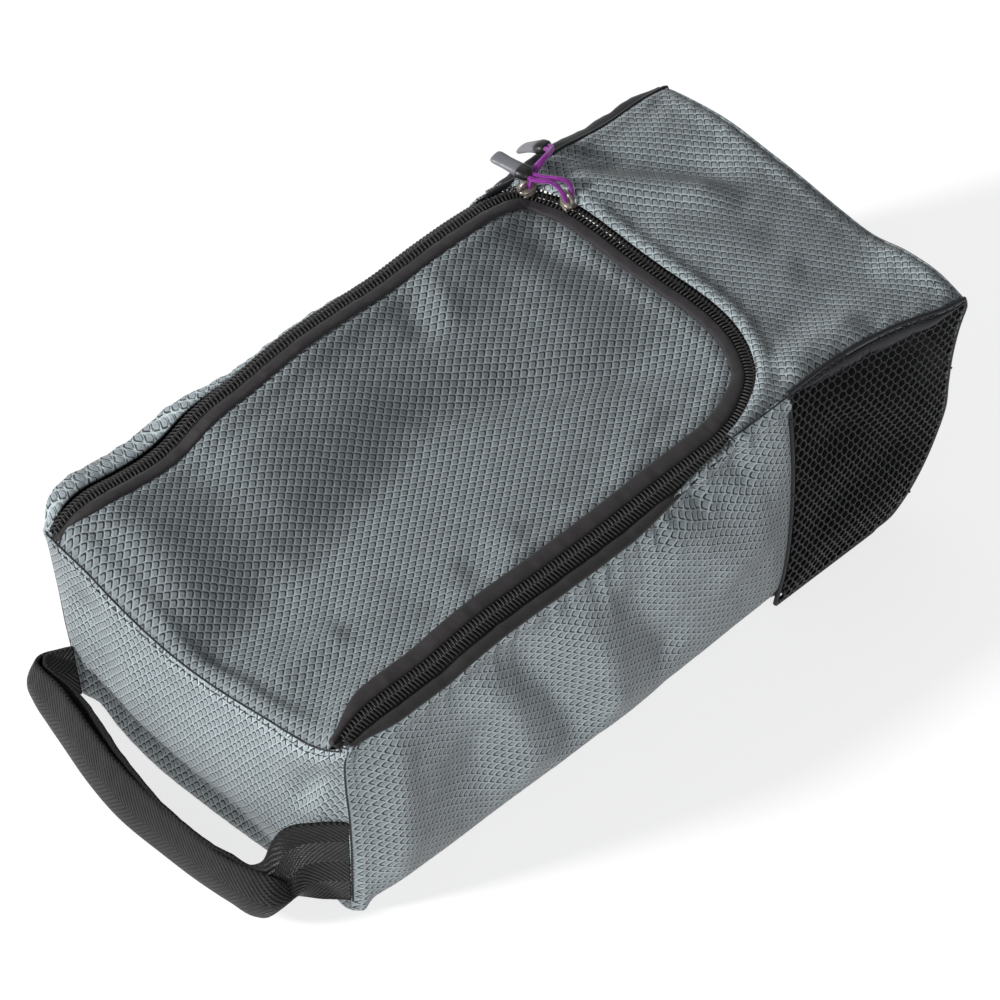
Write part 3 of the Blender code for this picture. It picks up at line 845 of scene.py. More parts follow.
def hinge_height(x):
    return spline(
        [-0.0925, -0.082, -0.066, -0.053, -0.039, -0.020, 0.0,
         0.020, 0.0445, 0.060, 0.072, 0.082, 0.0885, 0.0935],
        [0.1040, 0.1012, 0.0975, 0.0930, 0.0890, 0.0853, 0.0840,
         0.0852, 0.0885, 0.0903, 0.0925, 0.0966, 0.1008, 0.1040], x)


def toe_edge_height(x):
    return spline([-0.0925, -0.078, -0.052, -0.029, -0.009, 0.016, 0.036, 0.0575, 0.078, 0.0935],
                  [0.1020, 0.1057, 0.1098, 0.1088, 0.1075, 0.1045, 0.1036, 0.1088, 0.1095, 0.1045],
                  x)


def left_toe_height(y):
    """Top of the left side where it meets the toe top."""
    return spline(
        [0.060, 0.072, 0.082, 0.0910, 0.105, 0.123, 0.144, 0.156, 0.170, 0.1872],
        [0.1158, 0.1150, 0.1135, 0.1122, 0.1112, 0.1105, 0.1062, 0.1048, 0.1048, 0.1020], y)


# toe top to right side, from the zip to the toe end
RIGHT_TOE_SEAM = curve([
    (0.0845, 0.0520, 0.1112), (0.0850, 0.0640, 0.1118), (0.0849, 0.0756, 0.1120),
    (0.0843, 0.0968, 0.1118), (0.0836, 0.1162, 0.1112), (0.0849, 0.1343, 0.1108),
    (0.0878, 0.1514, 0.1100), (0.0905, 0.1640, 0.1085), (0.0930, 0.1750, 0.1068),
    (0.0933, 0.1870, 0.1045)], 200)
RIGHT_SEAM_Y = RIGHT_TOE_SEAM[:, 1]

# toe top to toe end, from right to left
edge_x = np.linspace(0.0930, -0.0925, 130)
TOE_EDGE = xyz(edge_x, 0.1878 - 0.0008 * np.cos(edge_x / 0.093 * 1.5), toe_edge_height(edge_x))

# corner seams at the handle end, from the top down
RIGHT_CORNER_STATIONS = [
    (0.0936, -0.1850, 0.1040), (0.0928, -0.1868, 0.0970), (0.0928, -0.1873, 0.0810),
    (0.0947, -0.1875, 0.0640), (0.0954, -0.1875, 0.0470), (0.0953, -0.1875, 0.0230),
    (0.0930, -0.1855, 0.0015)]
LEFT_CORNER_STATIONS = [
    (-0.0922, -0.1868, 0.1036), (-0.0935, -0.1845, 0.0900), (-0.0935, -0.1822, 0.0750),
    (-0.0930, -0.1804, 0.0610), (-0.0925, -0.1780, 0.0400), (-0.0920, -0.1752, 0.0200),
    (-0.0862, -0.1775, 0.0015)]
RIGHT_CORNER = curve(RIGHT_CORNER_STATIONS, GRID_Z)
LEFT_CORNER = curve(LEFT_CORNER_STATIONS, GRID_Z)

# where the side fabric meets the net, from the top down
RIGHT_NET_TOP = RIGHT_TOE_SEAM[np.argmin(np.abs(RIGHT_SEAM_Y - 0.089))]
LEFT_NET_TOP = (-0.0932, 0.0780, 0.1138)
RIGHT_NET_SEAM = curve([RIGHT_NET_TOP, (0.0880, 0.0868, 0.100), (0.0925, 0.0832, 0.078),
                        (0.0950, 0.0790, 0.050), (0.0955, 0.0745, 0.024),
                        (0.0935, 0.0700, FLOOR_Z)], GRID_Z)
LEFT_NET_SEAM = curve([LEFT_NET_TOP, (-0.0945, 0.0785, 0.100), (-0.0975, 0.0790, 0.078),
                       (-0.0985, 0.0775, 0.050), (-0.0975, 0.0745, 0.024),
                       (-0.0935, 0.0700, FLOOR_Z)], GRID_Z)

# =============================================================== lid

# height, width, then x, y along each fold
LID_FOLDS = [
    (-0.0028, 0.0075, [(0.081, -0.087), (0.063, -0.077), (0.044, -0.065)]),
    (0.0022, 0.0085, [(0.079, -0.066), (0.061, -0.056), (0.043, -0.048)]),
    (-0.0018, 0.0080, [(-0.078, 0.012), (-0.062, 0.006), (-0.045, -0.002)]),
    (0.0022, 0.0070, [(-0.076, 0.026), (-0.060, 0.021), (-0.046, 0.014)]),
    (0.0052, 0.0100, [(0.028, -0.176), (0.033, -0.153), (0.037, -0.128)]),
    (-0.0034, 0.0200, [(0.002, -0.190), (-0.003, -0.160), (-0.008, -0.118)], 0.30),
    (0.0018, 0.0150, [(-0.068, -0.180), (-0.060, -0.130), (-0.056, -0.060)]),
    (0.0018, 0.012, [(0.024, -0.104), (0.042, -0.120), (0.060, -0.142)]),
    (-0.0024, 0.008, [(0.052, -0.094), (0.066, -0.108), (0.078, -0.128)]),
    (0.0002, 0.014, [(-0.062, -0.150), (-0.052, -0.118), (-0.054, -0.080)]),
    (0.0018, 0.008, [(0.074, 0.000), (0.056, 0.022), (0.046, 0.050)]),
]
# height, radius, x, y of round bumps and dimples
LID_DIMPLES = [(-0.0014, 0.013, 0.034, -0.166), (0.0030, 0.015, -0.061, 0.034),
               (-0.0024, 0.013, -0.054, 0.078), (0.0018, 0.015, -0.040, 0.062)]


def lid_base(x, y):
    """Height of the sagging lid before it is drawn to its seams."""
    left = spline([-0.1875, -0.165, -0.145, -0.125, -0.100, -0.047, -0.015, 0.034, 0.060, 0.080,
                   0.100],
                  [0.1030, 0.1095, 0.1080, 0.1070, 0.1125, 0.1175, 0.1170, 0.1160, 0.1150, 0.1115,
                   0.1095], y)
    right = spline([-0.1875, -0.160, -0.125, -0.100, 0.0, 0.100],
                   [0.1010, 0.1045, 0.1060, 0.1085, 0.1090, 0.1090], y)
    share = np.clip((x + 0.080) / 0.160, 0, 1)
    z = left * (1 - share) + right * share
    # the trough: where its bottom runs, how low it is, and how wide to either side
    bottom_x = spline([-0.1875, -0.16, -0.13, -0.08, -0.04, 0.0, 0.058, 0.105],
                      [0.004, 0.005, 0.005, -0.001, -0.010, -0.004, 0.028, 0.045], y)
    bottom_z = spline([-0.1875, -0.16, -0.13, -0.08, -0.04, 0.0, 0.058, 0.085, 0.105],
                      [0.0840, 0.0864, 0.0908, 0.0982, 0.1020, 0.1040, 0.1066, 0.1085, 0.1095],
                      y)
    width_y = [-0.1875, -0.13, -0.06, 0.0, 0.06]
    left_width = spline(width_y, [0.032, 0.029, 0.027, 0.025, 0.022], y)
    right_width = spline(width_y, [0.080, 0.084, 0.072, 0.050, 0.036], y)
    depth = np.maximum(z - bottom_z, 0)
    from_bottom = x - bottom_x
    is_left = from_bottom < 0
    near = bell(from_bottom, 0, np.where(is_left, left_width, right_width))
    far = bell(from_bottom, 0, np.where(is_left, left_width * 2.1, right_width))
    z = z - depth * (0.80 * near + 0.20 * far)
    z = z + creases(x, y, LID_FOLDS)
    for height, radius, centre_x, centre_y in LID_DIMPLES:
        z = z + height * np.exp(-((x - centre_x) ** 2 + (y - centre_y) ** 2) / radius**2)
    z = z + tilt(x, y, (-0.034, -0.050), (0.040, 0.068), height=0.0042, width=0.0130)
    return z + 0.0006 * wave2(x, y, 3, 0.05) + 0.0003 * wave2(x, y, 9, 0.022)


def draw_in(points, edge, mismatch, reach):
    """Carries the height mismatches along an edge into the sheet, fading over reach."""
    out = np.zeros(len(points))
    block = 4000                         # points handled at once, to save memory
    for i in range(0, len(points), block):
        square = ((points[i:i + block, None, :] - edge[None]) ** 2).sum(-1) + 1e-9
        weight = square**-1.6
        nearest = np.sqrt(square.min(1))
        mean = (weight * mismatch[None]).sum(1) / weight.sum(1)
        out[i:i + block] = mean * np.exp(-((nearest / reach) ** 1.3))
    return out


def build_lid():
    at = np.linspace(0.0008, ZIP_LENGTH - 0.0008, 520)
    zip_edge = beside_zip(at, -0.0100, -0.0010)
    hinge_x = np.linspace(zip_edge[-1, 0], zip_edge[0, 0], 120)[1:-1]
    hinge = xyz(hinge_x, HINGE_Y + 0.0002, hinge_height(hinge_x) + 0.0004)
    zip_edge[:, 1] = np.maximum(zip_edge[:, 1], HINGE_Y + 0.0004)
    rim = np.concatenate([zip_edge, hinge])
    mismatch = rim[:, 2] - lid_base(rim[:, 0], rim[:, 1])

    def lift(x, y):
        flat = np.stack([x, y], 1)
        z = lid_base(x, y) + draw_in(flat, rim[:, :2], mismatch, reach=0.024)
        from_zip = edge_distance(flat, zip_edge[:, :2])
        from_hinge = np.abs(y - HINGE_Y)
        # puffed beside the band, gathered a little along it
        z = z + 0.0011 * bell(from_zip, 0.0065, 0.0040)
        round_lid = np.arctan2(x, y + 0.04) * 0.12
        gathers = wave(round_lid + y * 0.7, 5, 0.012) * np.exp(-from_zip / 0.009)
        z = z + 0.00035 * gathers * step(from_zip, 0, 0.002)
        # rolled into the hinge seam
        z = z + 0.0016 * bell(from_hinge, 0.0050, 0.0042) - 0.0012 * bell(from_hinge, 0, 0.0013)
        gathers = wave(x, 11, 0.010) * np.exp(-from_hinge / 0.008)
        z = z + 0.00030 * gathers * step(from_hinge, 0, 0.003)
        return np.stack([x, y, z], 1)

    ob = sheet("lid_fabric", rim[:, :2], SPACING, lift, LID_WEAVE)
    return cloth(ob, (0, 0, 1), pile=(-0.75, -0.65, 0), strength=1.25, low=-0.34, high=0.08)


lid = build_lid()

# =============================================================== zip: band, tapes and teeth

# out from the zip, up from the tape
BAND_SECTION = [
    (-0.0124, -0.0016), (-0.0127, -0.0007), (-0.0125, 0.0001), (-0.0119, 0.0006),
    (-0.0108, 0.0009), (-0.0092, 0.0011), (-0.0076, 0.0012), (-0.0062, 0.0011),
    (-0.0051, 0.0008), (-0.0045, 0.0003), (-0.0043, -0.0004), (-0.0046, -0.0010),
    (-0.0080, -0.0016)]
LID_TAPE_SECTION = [(-0.0100, -0.0024), (-0.0100, -0.0018), (-0.0040, -0.0012),
                    (-0.0004, -0.0011), (-0.0003, -0.0015), (-0.0040, -0.0019)]
# share of the tape's width, up from the tape
BODY_TAPE_SECTION = [
    (0.0, -0.0015), (0.0, -0.0011), (0.35, -0.0011), (0.42, -0.0004), (0.50, 0.0002),
    (0.62, 0.0006), (0.78, 0.0007), (0.92, 0.0004), (1.0, -0.0003), (1.0, -0.0014),
    (0.5, -0.0020)]
STRIP_AT = np.linspace(0.0, ZIP_LENGTH, int(740 / COARSE))


def sweep(name, section, material, ripple, seed):
    """A strip along the whole zip with a closed section."""
    section = np.asarray(section, float)
    outs = section[:, 0]
    long_wave = wave(STRIP_AT, seed, 0.028) * ripple
    short_wave = wave(STRIP_AT, seed + 1, 0.011) * ripple * 0.6
    columns = []
    for out, up in section:
        share = 1.0 if up > 0 else 0.25
        middle = bell(out, outs.mean(), np.ptp(outs) * 0.5 + 1e-9)
        sway = short_wave * 0.4 if abs(out) > 0.009 else 0
        rise = (long_wave + short_wave) * share * middle
        columns.append(beside_zip(STRIP_AT, out + sway, up + rise))
    points = np.stack(columns, 1)
    return closed_strip(name, points, STRIP_AT, arc_length(section), material,
                        seam_d=np.ones(points.shape[:2]))


def body_tape():
    """The body's tape: it shows on the right leg and hides under the cloth elsewhere."""
    facing = along_zip(STRIP_AT, ZIP_OUT[:, 0])
    y = along_zip(STRIP_AT, ZIP_LINE[:, 1])
    width = 0.0044 + 0.0056 * np.clip(facing, 0, 1) * step(-y, -0.046, 0.020)
    shown = (width - 0.0050) / 0.0050
    raised = step(shown, 0.10, 0.65)
    ripple = 0.00022 * wave(STRIP_AT, 31, 0.024) * np.clip(shown, 0, 1)
    columns = []
    for share, up in BODY_TAPE_SECTION:
        rise = up * raised + min(up, -0.0024) * (1 - raised) if share > 0.36 else up
        if share > 0.4:
            rise = rise + ripple
        columns.append(beside_zip(STRIP_AT, 0.0004 + (width + 0.0006) * share, rise))
    points = np.stack(columns, 1)
    return closed_strip("zip_tape_body_side", points, STRIP_AT,
                        np.linspace(0, 0.014, len(columns)), TAPE,
                        seam_d=np.ones(points.shape[:2]))


TOOTH_PITCH = 0.00206
# out from the zip, up from the tape, ahead along the zip, wire radius
TOOTH = np.array([
    (0.0041, -0.0006, -0.00060, 0.00034), (0.0040, 0.0001, -0.00050, 0.00044),
    (0.0034, 0.0006, -0.00030, 0.00047), (0.0020, 0.00085, 0.0, 0.00047),
    (0.0008, 0.00095, 0.00028, 0.00050), (-0.0002, 0.0008, 0.00050, 0.00052),
    (-0.0006, 0.0002, 0.00055, 0.00036)])


def teeth(name, side, phase):
    """A row of coil turns as one mesh: each turn comes up from the tape's sewn edge,
    crosses to the middle and hooks over."""
    count = int((ZIP_LENGTH - 0.003) / TOOTH_PITCH)
    at = 0.0016 + (np.arange(count) + phase) * TOOTH_PITCH
    centres = np.stack([beside_zip(at + ahead, side * out, up) for out, up, ahead, _ in TOOTH], 1)
    tangents = unit(np.gradient(centres, axis=1))
    forward = along_zip(at, ZIP_TANGENT)[:, None, :]
    across = unit(forward - tangents * (forward * tangents).sum(-1, keepdims=True))
    radii = TOOTH[:, 3]
    return tube_set(name, centres, across, np.cross(tangents, across), radii, radii, [0, 1], COIL)


band = sweep("lid_band_ribbon", BAND_SECTION, BAND, ripple=0.00028, seed=21)
lid_tape = sweep("zip_tape_lid_side", LID_TAPE_SECTION, TAPE, ripple=0.0, seed=1)
outer_tape = body_tape()
lid_teeth = teeth("zip_teeth_lid_side", side=-1, phase=0.0)
body_teeth = teeth("zip_teeth_body_side", side=1, phase=0.5)

# =============================================================== walls


def patch(top, bottom, left, right):
    """Sheet between four edge curves: rows run top to bottom, columns left to right."""
    u = np.linspace(0, 1, len(top))[None, :, None]
    v = np.linspace(0, 1, len(left))[:, None, None]
    points = (1 - v) * top[None] + v * bottom[None] + (1 - u) * left[:, None] + u * right[:, None]
    points -= ((1 - u) * (1 - v) * top[0] + u * (1 - v) * top[-1]
               + (1 - u) * v * bottom[0] + u * v * bottom[-1])
    return points


def edge_distances(points):
    """Distance of each grid point to the top, bottom, left, right and nearest edges."""
    rows, columns = points.shape[:2]
    right_steps = np.linalg.norm(np.diff(points, axis=1), axis=2)
    down_steps = np.linalg.norm(np.diff(points, axis=0), axis=2)
    left = np.concatenate([np.zeros((rows, 1)), np.cumsum(right_steps, axis=1)], 1)
    top = np.concatenate([np.zeros((1, columns)), np.cumsum(down_steps, axis=0)], 0)
    bottom, right = top[-1:] - top, left[:, -1:] - left
    nearest = np.minimum(np.minimum(top, bottom), np.minimum(left, right))
    return top, bottom, left, right, nearest


def roll(distance, depth=0.0013, reach=0.0022):
    """How far a sewn edge rolls in at a distance from the seam."""
    return -depth * np.exp(-((distance / reach) ** 1.5))


def gathered(x, seed, base, from_seam, reach):
    """Puckers along x that start just off a seam and fade over reach."""
    return wave(x, seed, base) * np.exp(-from_seam / reach) * step(from_seam, 0, 0.003)


# ---- right side: from the handle-end corner to the net's front seam

# height, width, then y, z along each fold
RIGHT_FOLDS = [
    (0.0046, 0.013, [(-0.163, 0.100), (-0.164, 0.075), (-0.166, 0.040), (-0.164, 0.012)]),
    (0.0048, 0.0120, [(-0.118, 0.098), (-0.098, 0.070), (-0.091, 0.036), (-0.085, 0.012)]),
    (-0.0064, 0.0125, [(-0.096, 0.104), (-0.071, 0.064), (-0.059, 0.034), (-0.053, 0.012)]),
    (0.0040, 0.0120, [(-0.062, 0.100), (-0.046, 0.070), (-0.040, 0.042), (-0.040, 0.018)]),
    (-0.0048, 0.0120, [(-0.030, 0.092), (-0.016, 0.066), (-0.004, 0.040), (0.000, 0.020)]),
    (0.0056, 0.0160, [(-0.004, 0.104), (0.016, 0.090), (0.036, 0.066), (0.044, 0.036)]),
    (-0.0032, 0.0065, [(0.012, 0.110), (0.022, 0.102), (0.032, 0.090)]),
    (-0.0030, 0.0065, [(0.044, 0.110), (0.052, 0.100), (0.060, 0.086)]),
    (0.0026, 0.011, [(0.046, 0.096), (0.056, 0.072), (0.056, 0.040)]),
    (0.0016, 0.012, [(-0.150, 0.030), (-0.100, 0.022), (-0.040, 0.026), (0.020, 0.020)]),
]
RIGHT_FOOT = [
    RIGHT_CORNER_STATIONS[-1], (0.0962, -0.1800, FLOOR_Z), (0.0990, -0.165, FLOOR_Z),
    (0.0997, -0.140, FLOOR_Z), (0.0990, -0.098, FLOOR_Z), (0.0985, -0.043, FLOOR_Z),
    (0.0960, 0.010, FLOOR_Z), (0.0935, 0.0700, FLOOR_Z)]


def build_right_side():
    """The panel and its bottom row of points."""
    top_y = np.linspace(-0.1852, 0.0520, 200)
    reach = 0.0098 - 0.0066 * step(top_y, -0.010, 0.050)
    zip_edge = beside_zip(zip_at_right(top_y), reach, -0.0002)[::4]
    seam = RIGHT_TOE_SEAM[(RIGHT_SEAM_Y > 0.058) & (RIGHT_SEAM_Y < 0.0888)]
    top = np.concatenate([zip_edge, seam])
    top[0] = RIGHT_CORNER_STATIONS[0]
    top = curve(top, GRID_Y)
    top[-1] = RIGHT_NET_TOP
    points = patch(top, curve(RIGHT_FOOT, GRID_Y), RIGHT_CORNER, RIGHT_NET_SEAM)
    from_top, from_foot, from_left, from_right, nearest = edge_distances(points)
    y, z = points[..., 1], points[..., 2]
    out = 0.0035 * np.sin(np.pi * np.clip((0.104 - z) / 0.104, 0, 1))
    out = out * step(y, -0.187, -0.14) * (1 - 0.6 * step(y, 0.02, 0.085))
    # a hollow low at the handle end
    out = out - 0.0095 * np.exp(-(((y + 0.114) / 0.031) ** 2 + ((z - 0.044) / 0.038) ** 2))
    out = out + creases(y, z, RIGHT_FOLDS)
    out = out + 0.0007 * wave2(y, z, 17, 0.060) + 0.0003 * wave2(y, z, 18, 0.025)
    out = out * step(nearest, 0.0, 0.014)
    under_zip = crease(y, z, -0.0034, 0.0050, [(0.004, 0.106), (0.019, 0.102), (0.036, 0.097)])
    out = out + under_zip * step(from_top, 0, 0.004)
    # puckers hanging from the zip tape
    out = out + 0.0013 * gathered(y, 41, 0.015, from_top, 0.012) * step(y, -0.15, -0.05)
    out = out + 0.0005 * gathered(y, 40, 0.011, from_top, 0.009)
    out = out + 0.0014 * bell(from_top, 0.0045, 0.0036)
    out = out + 0.0012 * bell(from_left, 0.0050, 0.0036) * step(from_top, 0, 0.02)
    out = out + roll(from_top) + roll(from_left, 0.0010) + roll(from_right, 0.0010)
    # the lower edge turns under
    out = out - 0.0050 * bell(from_foot, 0, 0.0062) * step(from_left, 0.001, 0.016)
    points[..., 0] += out
    ob = grid("side_fabric_right", points, np.stack([z, -y], -1), SIDE_WEAVE, seam_d=nearest)
    return cloth(ob, (1, 0, 0), pile=(0, -1, 0.55), strength=1.65), points[-1]


# ---- left side

LEFT_FOLDS = [
    (-0.0036, 0.013, [(-0.150, 0.092), (-0.140, 0.060), (-0.142, 0.024)]),
    (0.0026, 0.013, [(-0.110, 0.100), (-0.094, 0.070), (-0.086, 0.036)]),
    (-0.0030, 0.011, [(-0.060, 0.106), (-0.052, 0.076), (-0.058, 0.040)]),
    (0.0024, 0.012, [(-0.010, 0.108), (-0.002, 0.080), (-0.010, 0.044)]),
    (-0.0026, 0.011, [(0.040, 0.108), (0.034, 0.076), (0.040, 0.040)]),
    (0.0016, 0.012, [(-0.130, 0.026), (-0.060, 0.030), (0.030, 0.022)]),
]
LEFT_FOOT = [
    LEFT_CORNER_STATIONS[-1], (-0.0905, -0.1700, FLOOR_Z), (-0.0945, -0.1500, FLOOR_Z),
    (-0.0975, -0.1200, FLOOR_Z), (-0.0980, -0.0700, FLOOR_Z), (-0.0975, -0.0200, FLOOR_Z),
    (-0.0955, 0.0250, FLOOR_Z), (-0.0935, 0.0700, FLOOR_Z)]


def build_left_side():
    """The panel and its bottom row of points."""
    top = beside_zip(zip_at_left(np.linspace(-0.1850, 0.0700, 200)), 0.0047, -0.0004)
    top[0] = LEFT_CORNER_STATIONS[0]
    top = curve(top[::4], GRID_Y)
    top = curve(np.concatenate([top[::3], [LEFT_NET_TOP]]), GRID_Y)
    flat = patch(top, curve(LEFT_FOOT, GRID_Y), LEFT_CORNER, LEFT_NET_SEAM)
    from_top, from_foot, from_left, from_right, nearest = edge_distances(flat)
    y, z = flat[..., 1], flat[..., 2]
    out = 0.0042 * np.sin(np.pi * np.clip((0.108 - z) / 0.108, 0, 1)) * step(y, -0.187, -0.13)
    out = out + creases(y, z, LEFT_FOLDS)
    out = out + 0.0008 * wave2(y, z, 27, 0.060) + 0.0003 * wave2(y, z, 28, 0.025)
    out = out * step(nearest, 0.0, 0.014)
    # the cloth swells out past the zip near the handle end
    swell = bell(from_top, 0.0060, 0.0050) * step(y, -0.187, -0.165)
    out = out + 0.0042 * swell * (1 - step(y, -0.120, -0.060))
    out = out + 0.0009 * bell(from_top, 0.0050, 0.0040)
    out = out + 0.0006 * gathered(y, 43, 0.014, from_top, 0.010)
    out = out + roll(from_top, 0.0008) + roll(from_left, 0.0010) + roll(from_right, 0.0010)
    # and its top rim stands up there
    near_end = step(y, -HINGE_Y * -1 + 0.0001, -0.176) * (1 - step(y, -0.128, -0.050))
    rim = (bell(from_top, 0.0058, 0.0052) * near_end
           + 0.35 * bell(from_top, 0.0040, 0.0034) * (1 - step(y, -0.03, 0.05)))
    corner = bell(from_left, 0.006, 0.006) * step(z, 0.050, 0.085) * step(from_top, 0, 0.01)
    # the lower edge turns under
    turn = bell(from_foot, 0, 0.0062) * step(from_left, 0.001, 0.020)
    points = flat.copy()
    points[..., 0] -= out + 0.0046 * rim + 0.0016 * corner - 0.0050 * turn
    points[..., 2] += 0.0042 * rim
    ob = grid("side_fabric_left", points, np.stack([z, -y], -1), SIDE_WEAVE, seam_d=nearest,
              flip=True)
    return cloth(ob, (-1, 0, 0), pile=(0, -1, 0.75), strength=0.9), points[-1]


# ---- handle end

# height, width, then x, z along each fold
END_FOLDS = [
    (-0.0026, 0.009, [(-0.072, 0.086), (-0.058, 0.060), (-0.050, 0.034)]),
    (0.0014, 0.010, [(-0.060, 0.090), (-0.040, 0.064), (-0.024, 0.040)]),
    (-0.0024, 0.0055, [(0.086, 0.088), (0.074, 0.072), (0.066, 0.054)]),
    (0.0012, 0.008, [(0.080, 0.094), (0.062, 0.080), (0.048, 0.070)]),
]
END_FOOT = [
    LEFT_CORNER_STATIONS[-1], (-0.0790, -0.1790, 0.0015), (-0.0550, -0.1855, 0.0015),
    (-0.0300, -0.1895, 0.0015), (0.0, -0.1908, 0.0015), (0.040, -0.1908, 0.0015),
    (0.078, -0.1895, 0.0015), RIGHT_CORNER_STATIONS[-1]]


def end_top_edge():
    x = np.linspace(-0.0922, 0.0936, 240)
    top = xyz(x, HINGE_Y - 0.0002, hinge_height(x) - 0.0006)
    top[0] = LEFT_CORNER_STATIONS[0]
    top[-1] = RIGHT_CORNER_STATIONS[0]
    top = resample(top, GRID_X)
    # the last stretch runs forward to the right corner
    run = HINGE_Y + (top[:, 0] - 0.085) / 0.0086 * 0.0024
    top[:, 1] = np.where(top[:, 0] > 0.085, run, top[:, 1])
    return top


END_TOP = end_top_edge()


def build_handle_end():
    """The panel and its grid of points."""
    points = patch(END_TOP, curve(END_FOOT, GRID_X), LEFT_CORNER, RIGHT_CORNER)
    from_top, from_foot, from_left, from_right, nearest = edge_distances(points)
    x, z = points[..., 0], points[..., 2]
    height = np.clip(z / np.maximum(END_TOP[None, :, 2], 1e-6), 0, 1)
    # the profile from foot to top: hollow low down on the left, plain on the right
    hollow = spline(
        [0, 0.04, 0.10, 0.17, 0.26, 0.38, 0.5, 0.65, 0.82, 1.0],
        [0.0, 0.0004, -0.0022, -0.0034, -0.0006, 0.0044, 0.0056, 0.0048, 0.0026, 0.0], height)
    plain = spline([0, 0.1, 0.3, 0.5, 0.75, 1.0], [0.0, 0.0008, 0.0030, 0.0040, 0.0026, 0.0],
                   height)
    leftness = 1 - step(x, 0.020, 0.072)
    out = hollow * leftness + plain * (1 - leftness)
    out = out * step(from_left, 0, 0.016) * step(from_right, 0, 0.016)
    out = out + creases(x, z, END_FOLDS)
    out = out + 0.0005 * wave2(x, z, 33, 0.045) * step(nearest, 0, 0.01)
    # the hollow's small cross ripples
    out = out + 0.00055 * wave(x, 35, 0.011) * bell(height, 0.16, 0.10) * leftness
    out = out + 0.0004 * bell(from_top, 0.0048, 0.0036)
    out = out + 0.00035 * gathered(x, 36, 0.011, from_top, 0.008)
    out = out + roll(from_top, 0.0012) + roll(from_left, 0.0009) + roll(from_right, 0.0009)
    turn = bell(from_foot, 0, 0.0050)
    turn = turn * step(from_left, 0.001, 0.016) * step(from_right, 0.001, 0.016)
    points[..., 1] += 0.0045 * turn - out
    ob = grid("handle_end_fabric", points, np.stack([x, z], -1), END_WEAVE, seam_d=nearest)
    return cloth(ob, (0, -1, 0), pile=(-0.3, 0, 1), strength=0.55), points


# ---- toe end: wall, curve and the fold into the base

TOE_HEIGHT = 0.104
# y, height as a share of TOE_HEIGHT
TOE_PROFILE = [
    (0.1880, 1.00), (0.1868, 0.94), (0.1830, 0.85), (0.1790, 0.72), (0.1765, 0.58), (0.1745, 0.44),
    (0.1695, 0.33), (0.1625, 0.215), (0.1570, 0.145), (0.1490, 0.070), (0.1410, 0.022),
    (0.1300, 0.0115)]
TOE_END_FOLDS = [
    (-0.0024, 0.010, [(-0.070, 0.098), (-0.050, 0.070), (-0.046, 0.036)]),
    (0.0020, 0.012, [(-0.030, 0.100), (-0.010, 0.072), (-0.006, 0.040)]),
    (-0.0026, 0.011, [(0.020, 0.098), (0.030, 0.066), (0.024, 0.034)]),
    (0.0018, 0.010, [(0.070, 0.100), (0.058, 0.070), (0.060, 0.038)]),
]


def build_toe_end():
    """The panel and its grid of points."""
    profile = curve([(y, share * TOE_HEIGHT) for y, share in TOE_PROFILE], GRID_Z)
    profile_y, profile_z = profile[:, :1], profile[:, 1:]
    share = profile_z / TOE_HEIGHT
    row_x = np.linspace(-0.0925, 0.0933, GRID_X)
    rise = (toe_edge_height(row_x) - TOE_HEIGHT) * np.clip(share, 0, 1) ** 1.5
    points = xyz(row_x * (1 - 0.012 * (1 - share)), profile_y, profile_z + rise)
    from_top, _, from_left, from_right, nearest = edge_distances(points)
    x, z = points[..., 0], points[..., 2]
    out = 0.0026 * np.sin(np.pi * np.clip(z / TOE_HEIGHT, 0, 1)) * (1 - (x / 0.093) ** 4)
    out = out + creases(x, z, TOE_END_FOLDS)
    out = out + 0.0006 * wave2(x, z, 45, 0.05)
    out = out * step(nearest, 0, 0.012)
    out = out + 0.0010 * bell(from_top, 0.0050, 0.0036)
    out = out + roll(from_top, 0.0010) + roll(from_left, 0.0008) + roll(from_right, 0.0008)
    normals = np.cross(np.gradient(points, axis=0), np.gradient(points, axis=1))
    normals = unit(normals, tiny=1e-12)
    normals *= np.sign(normals[..., 1].mean())
    moved = points + normals * out[..., None]
    moved[..., 2] = np.maximum(moved[..., 2], 0.0009)
    ob = grid("toe_end_fabric", moved, np.stack([x, -from_top], -1), TOE_WEAVE, seam_d=nearest,
              flip=True)
    return cloth(ob, (0, 1, 0), pile=(-0.5, 0, 1), strength=0.8, rest=0.0), moved


# ---- toe top: a sheet from the zip's far edge to the toe

LEFT_SIDE_X = -0.0934
# height, width, then x, y along each fold
TOE_TOP_FOLDS = [
    (0.0060, 0.0100, [(-0.084, 0.102), (-0.060, 0.119), (-0.036, 0.141), (-0.010, 0.160)]),
    (-0.0030, 0.0095, [(-0.086, 0.124), (-0.068, 0.137), (-0.046, 0.156), (-0.022, 0.174)]),
    (0.0016, 0.0110, [(-0.036, 0.112), (-0.010, 0.128), (0.016, 0.150)]),
    (-0.0006, 0.0100, [(0.006, 0.110), (0.030, 0.122), (0.050, 0.140)]),
    (0.0046, 0.0090, [(0.076, 0.090), (0.073, 0.114), (0.074, 0.148)]),
    (-0.0014, 0.0090, [(0.054, 0.108), (0.053, 0.128), (0.056, 0.150)]),
    (-0.0020, 0.0100, [(0.028, 0.140), (0.046, 0.156), (0.058, 0.176)]),
]


def drop_close(points, gap):
    """Leaves out points nearer than gap, in plan, to the one before."""
    steps = np.linalg.norm(np.diff(points[:, :2], axis=0), axis=1)
    return points[np.concatenate([[True], steps > gap])]


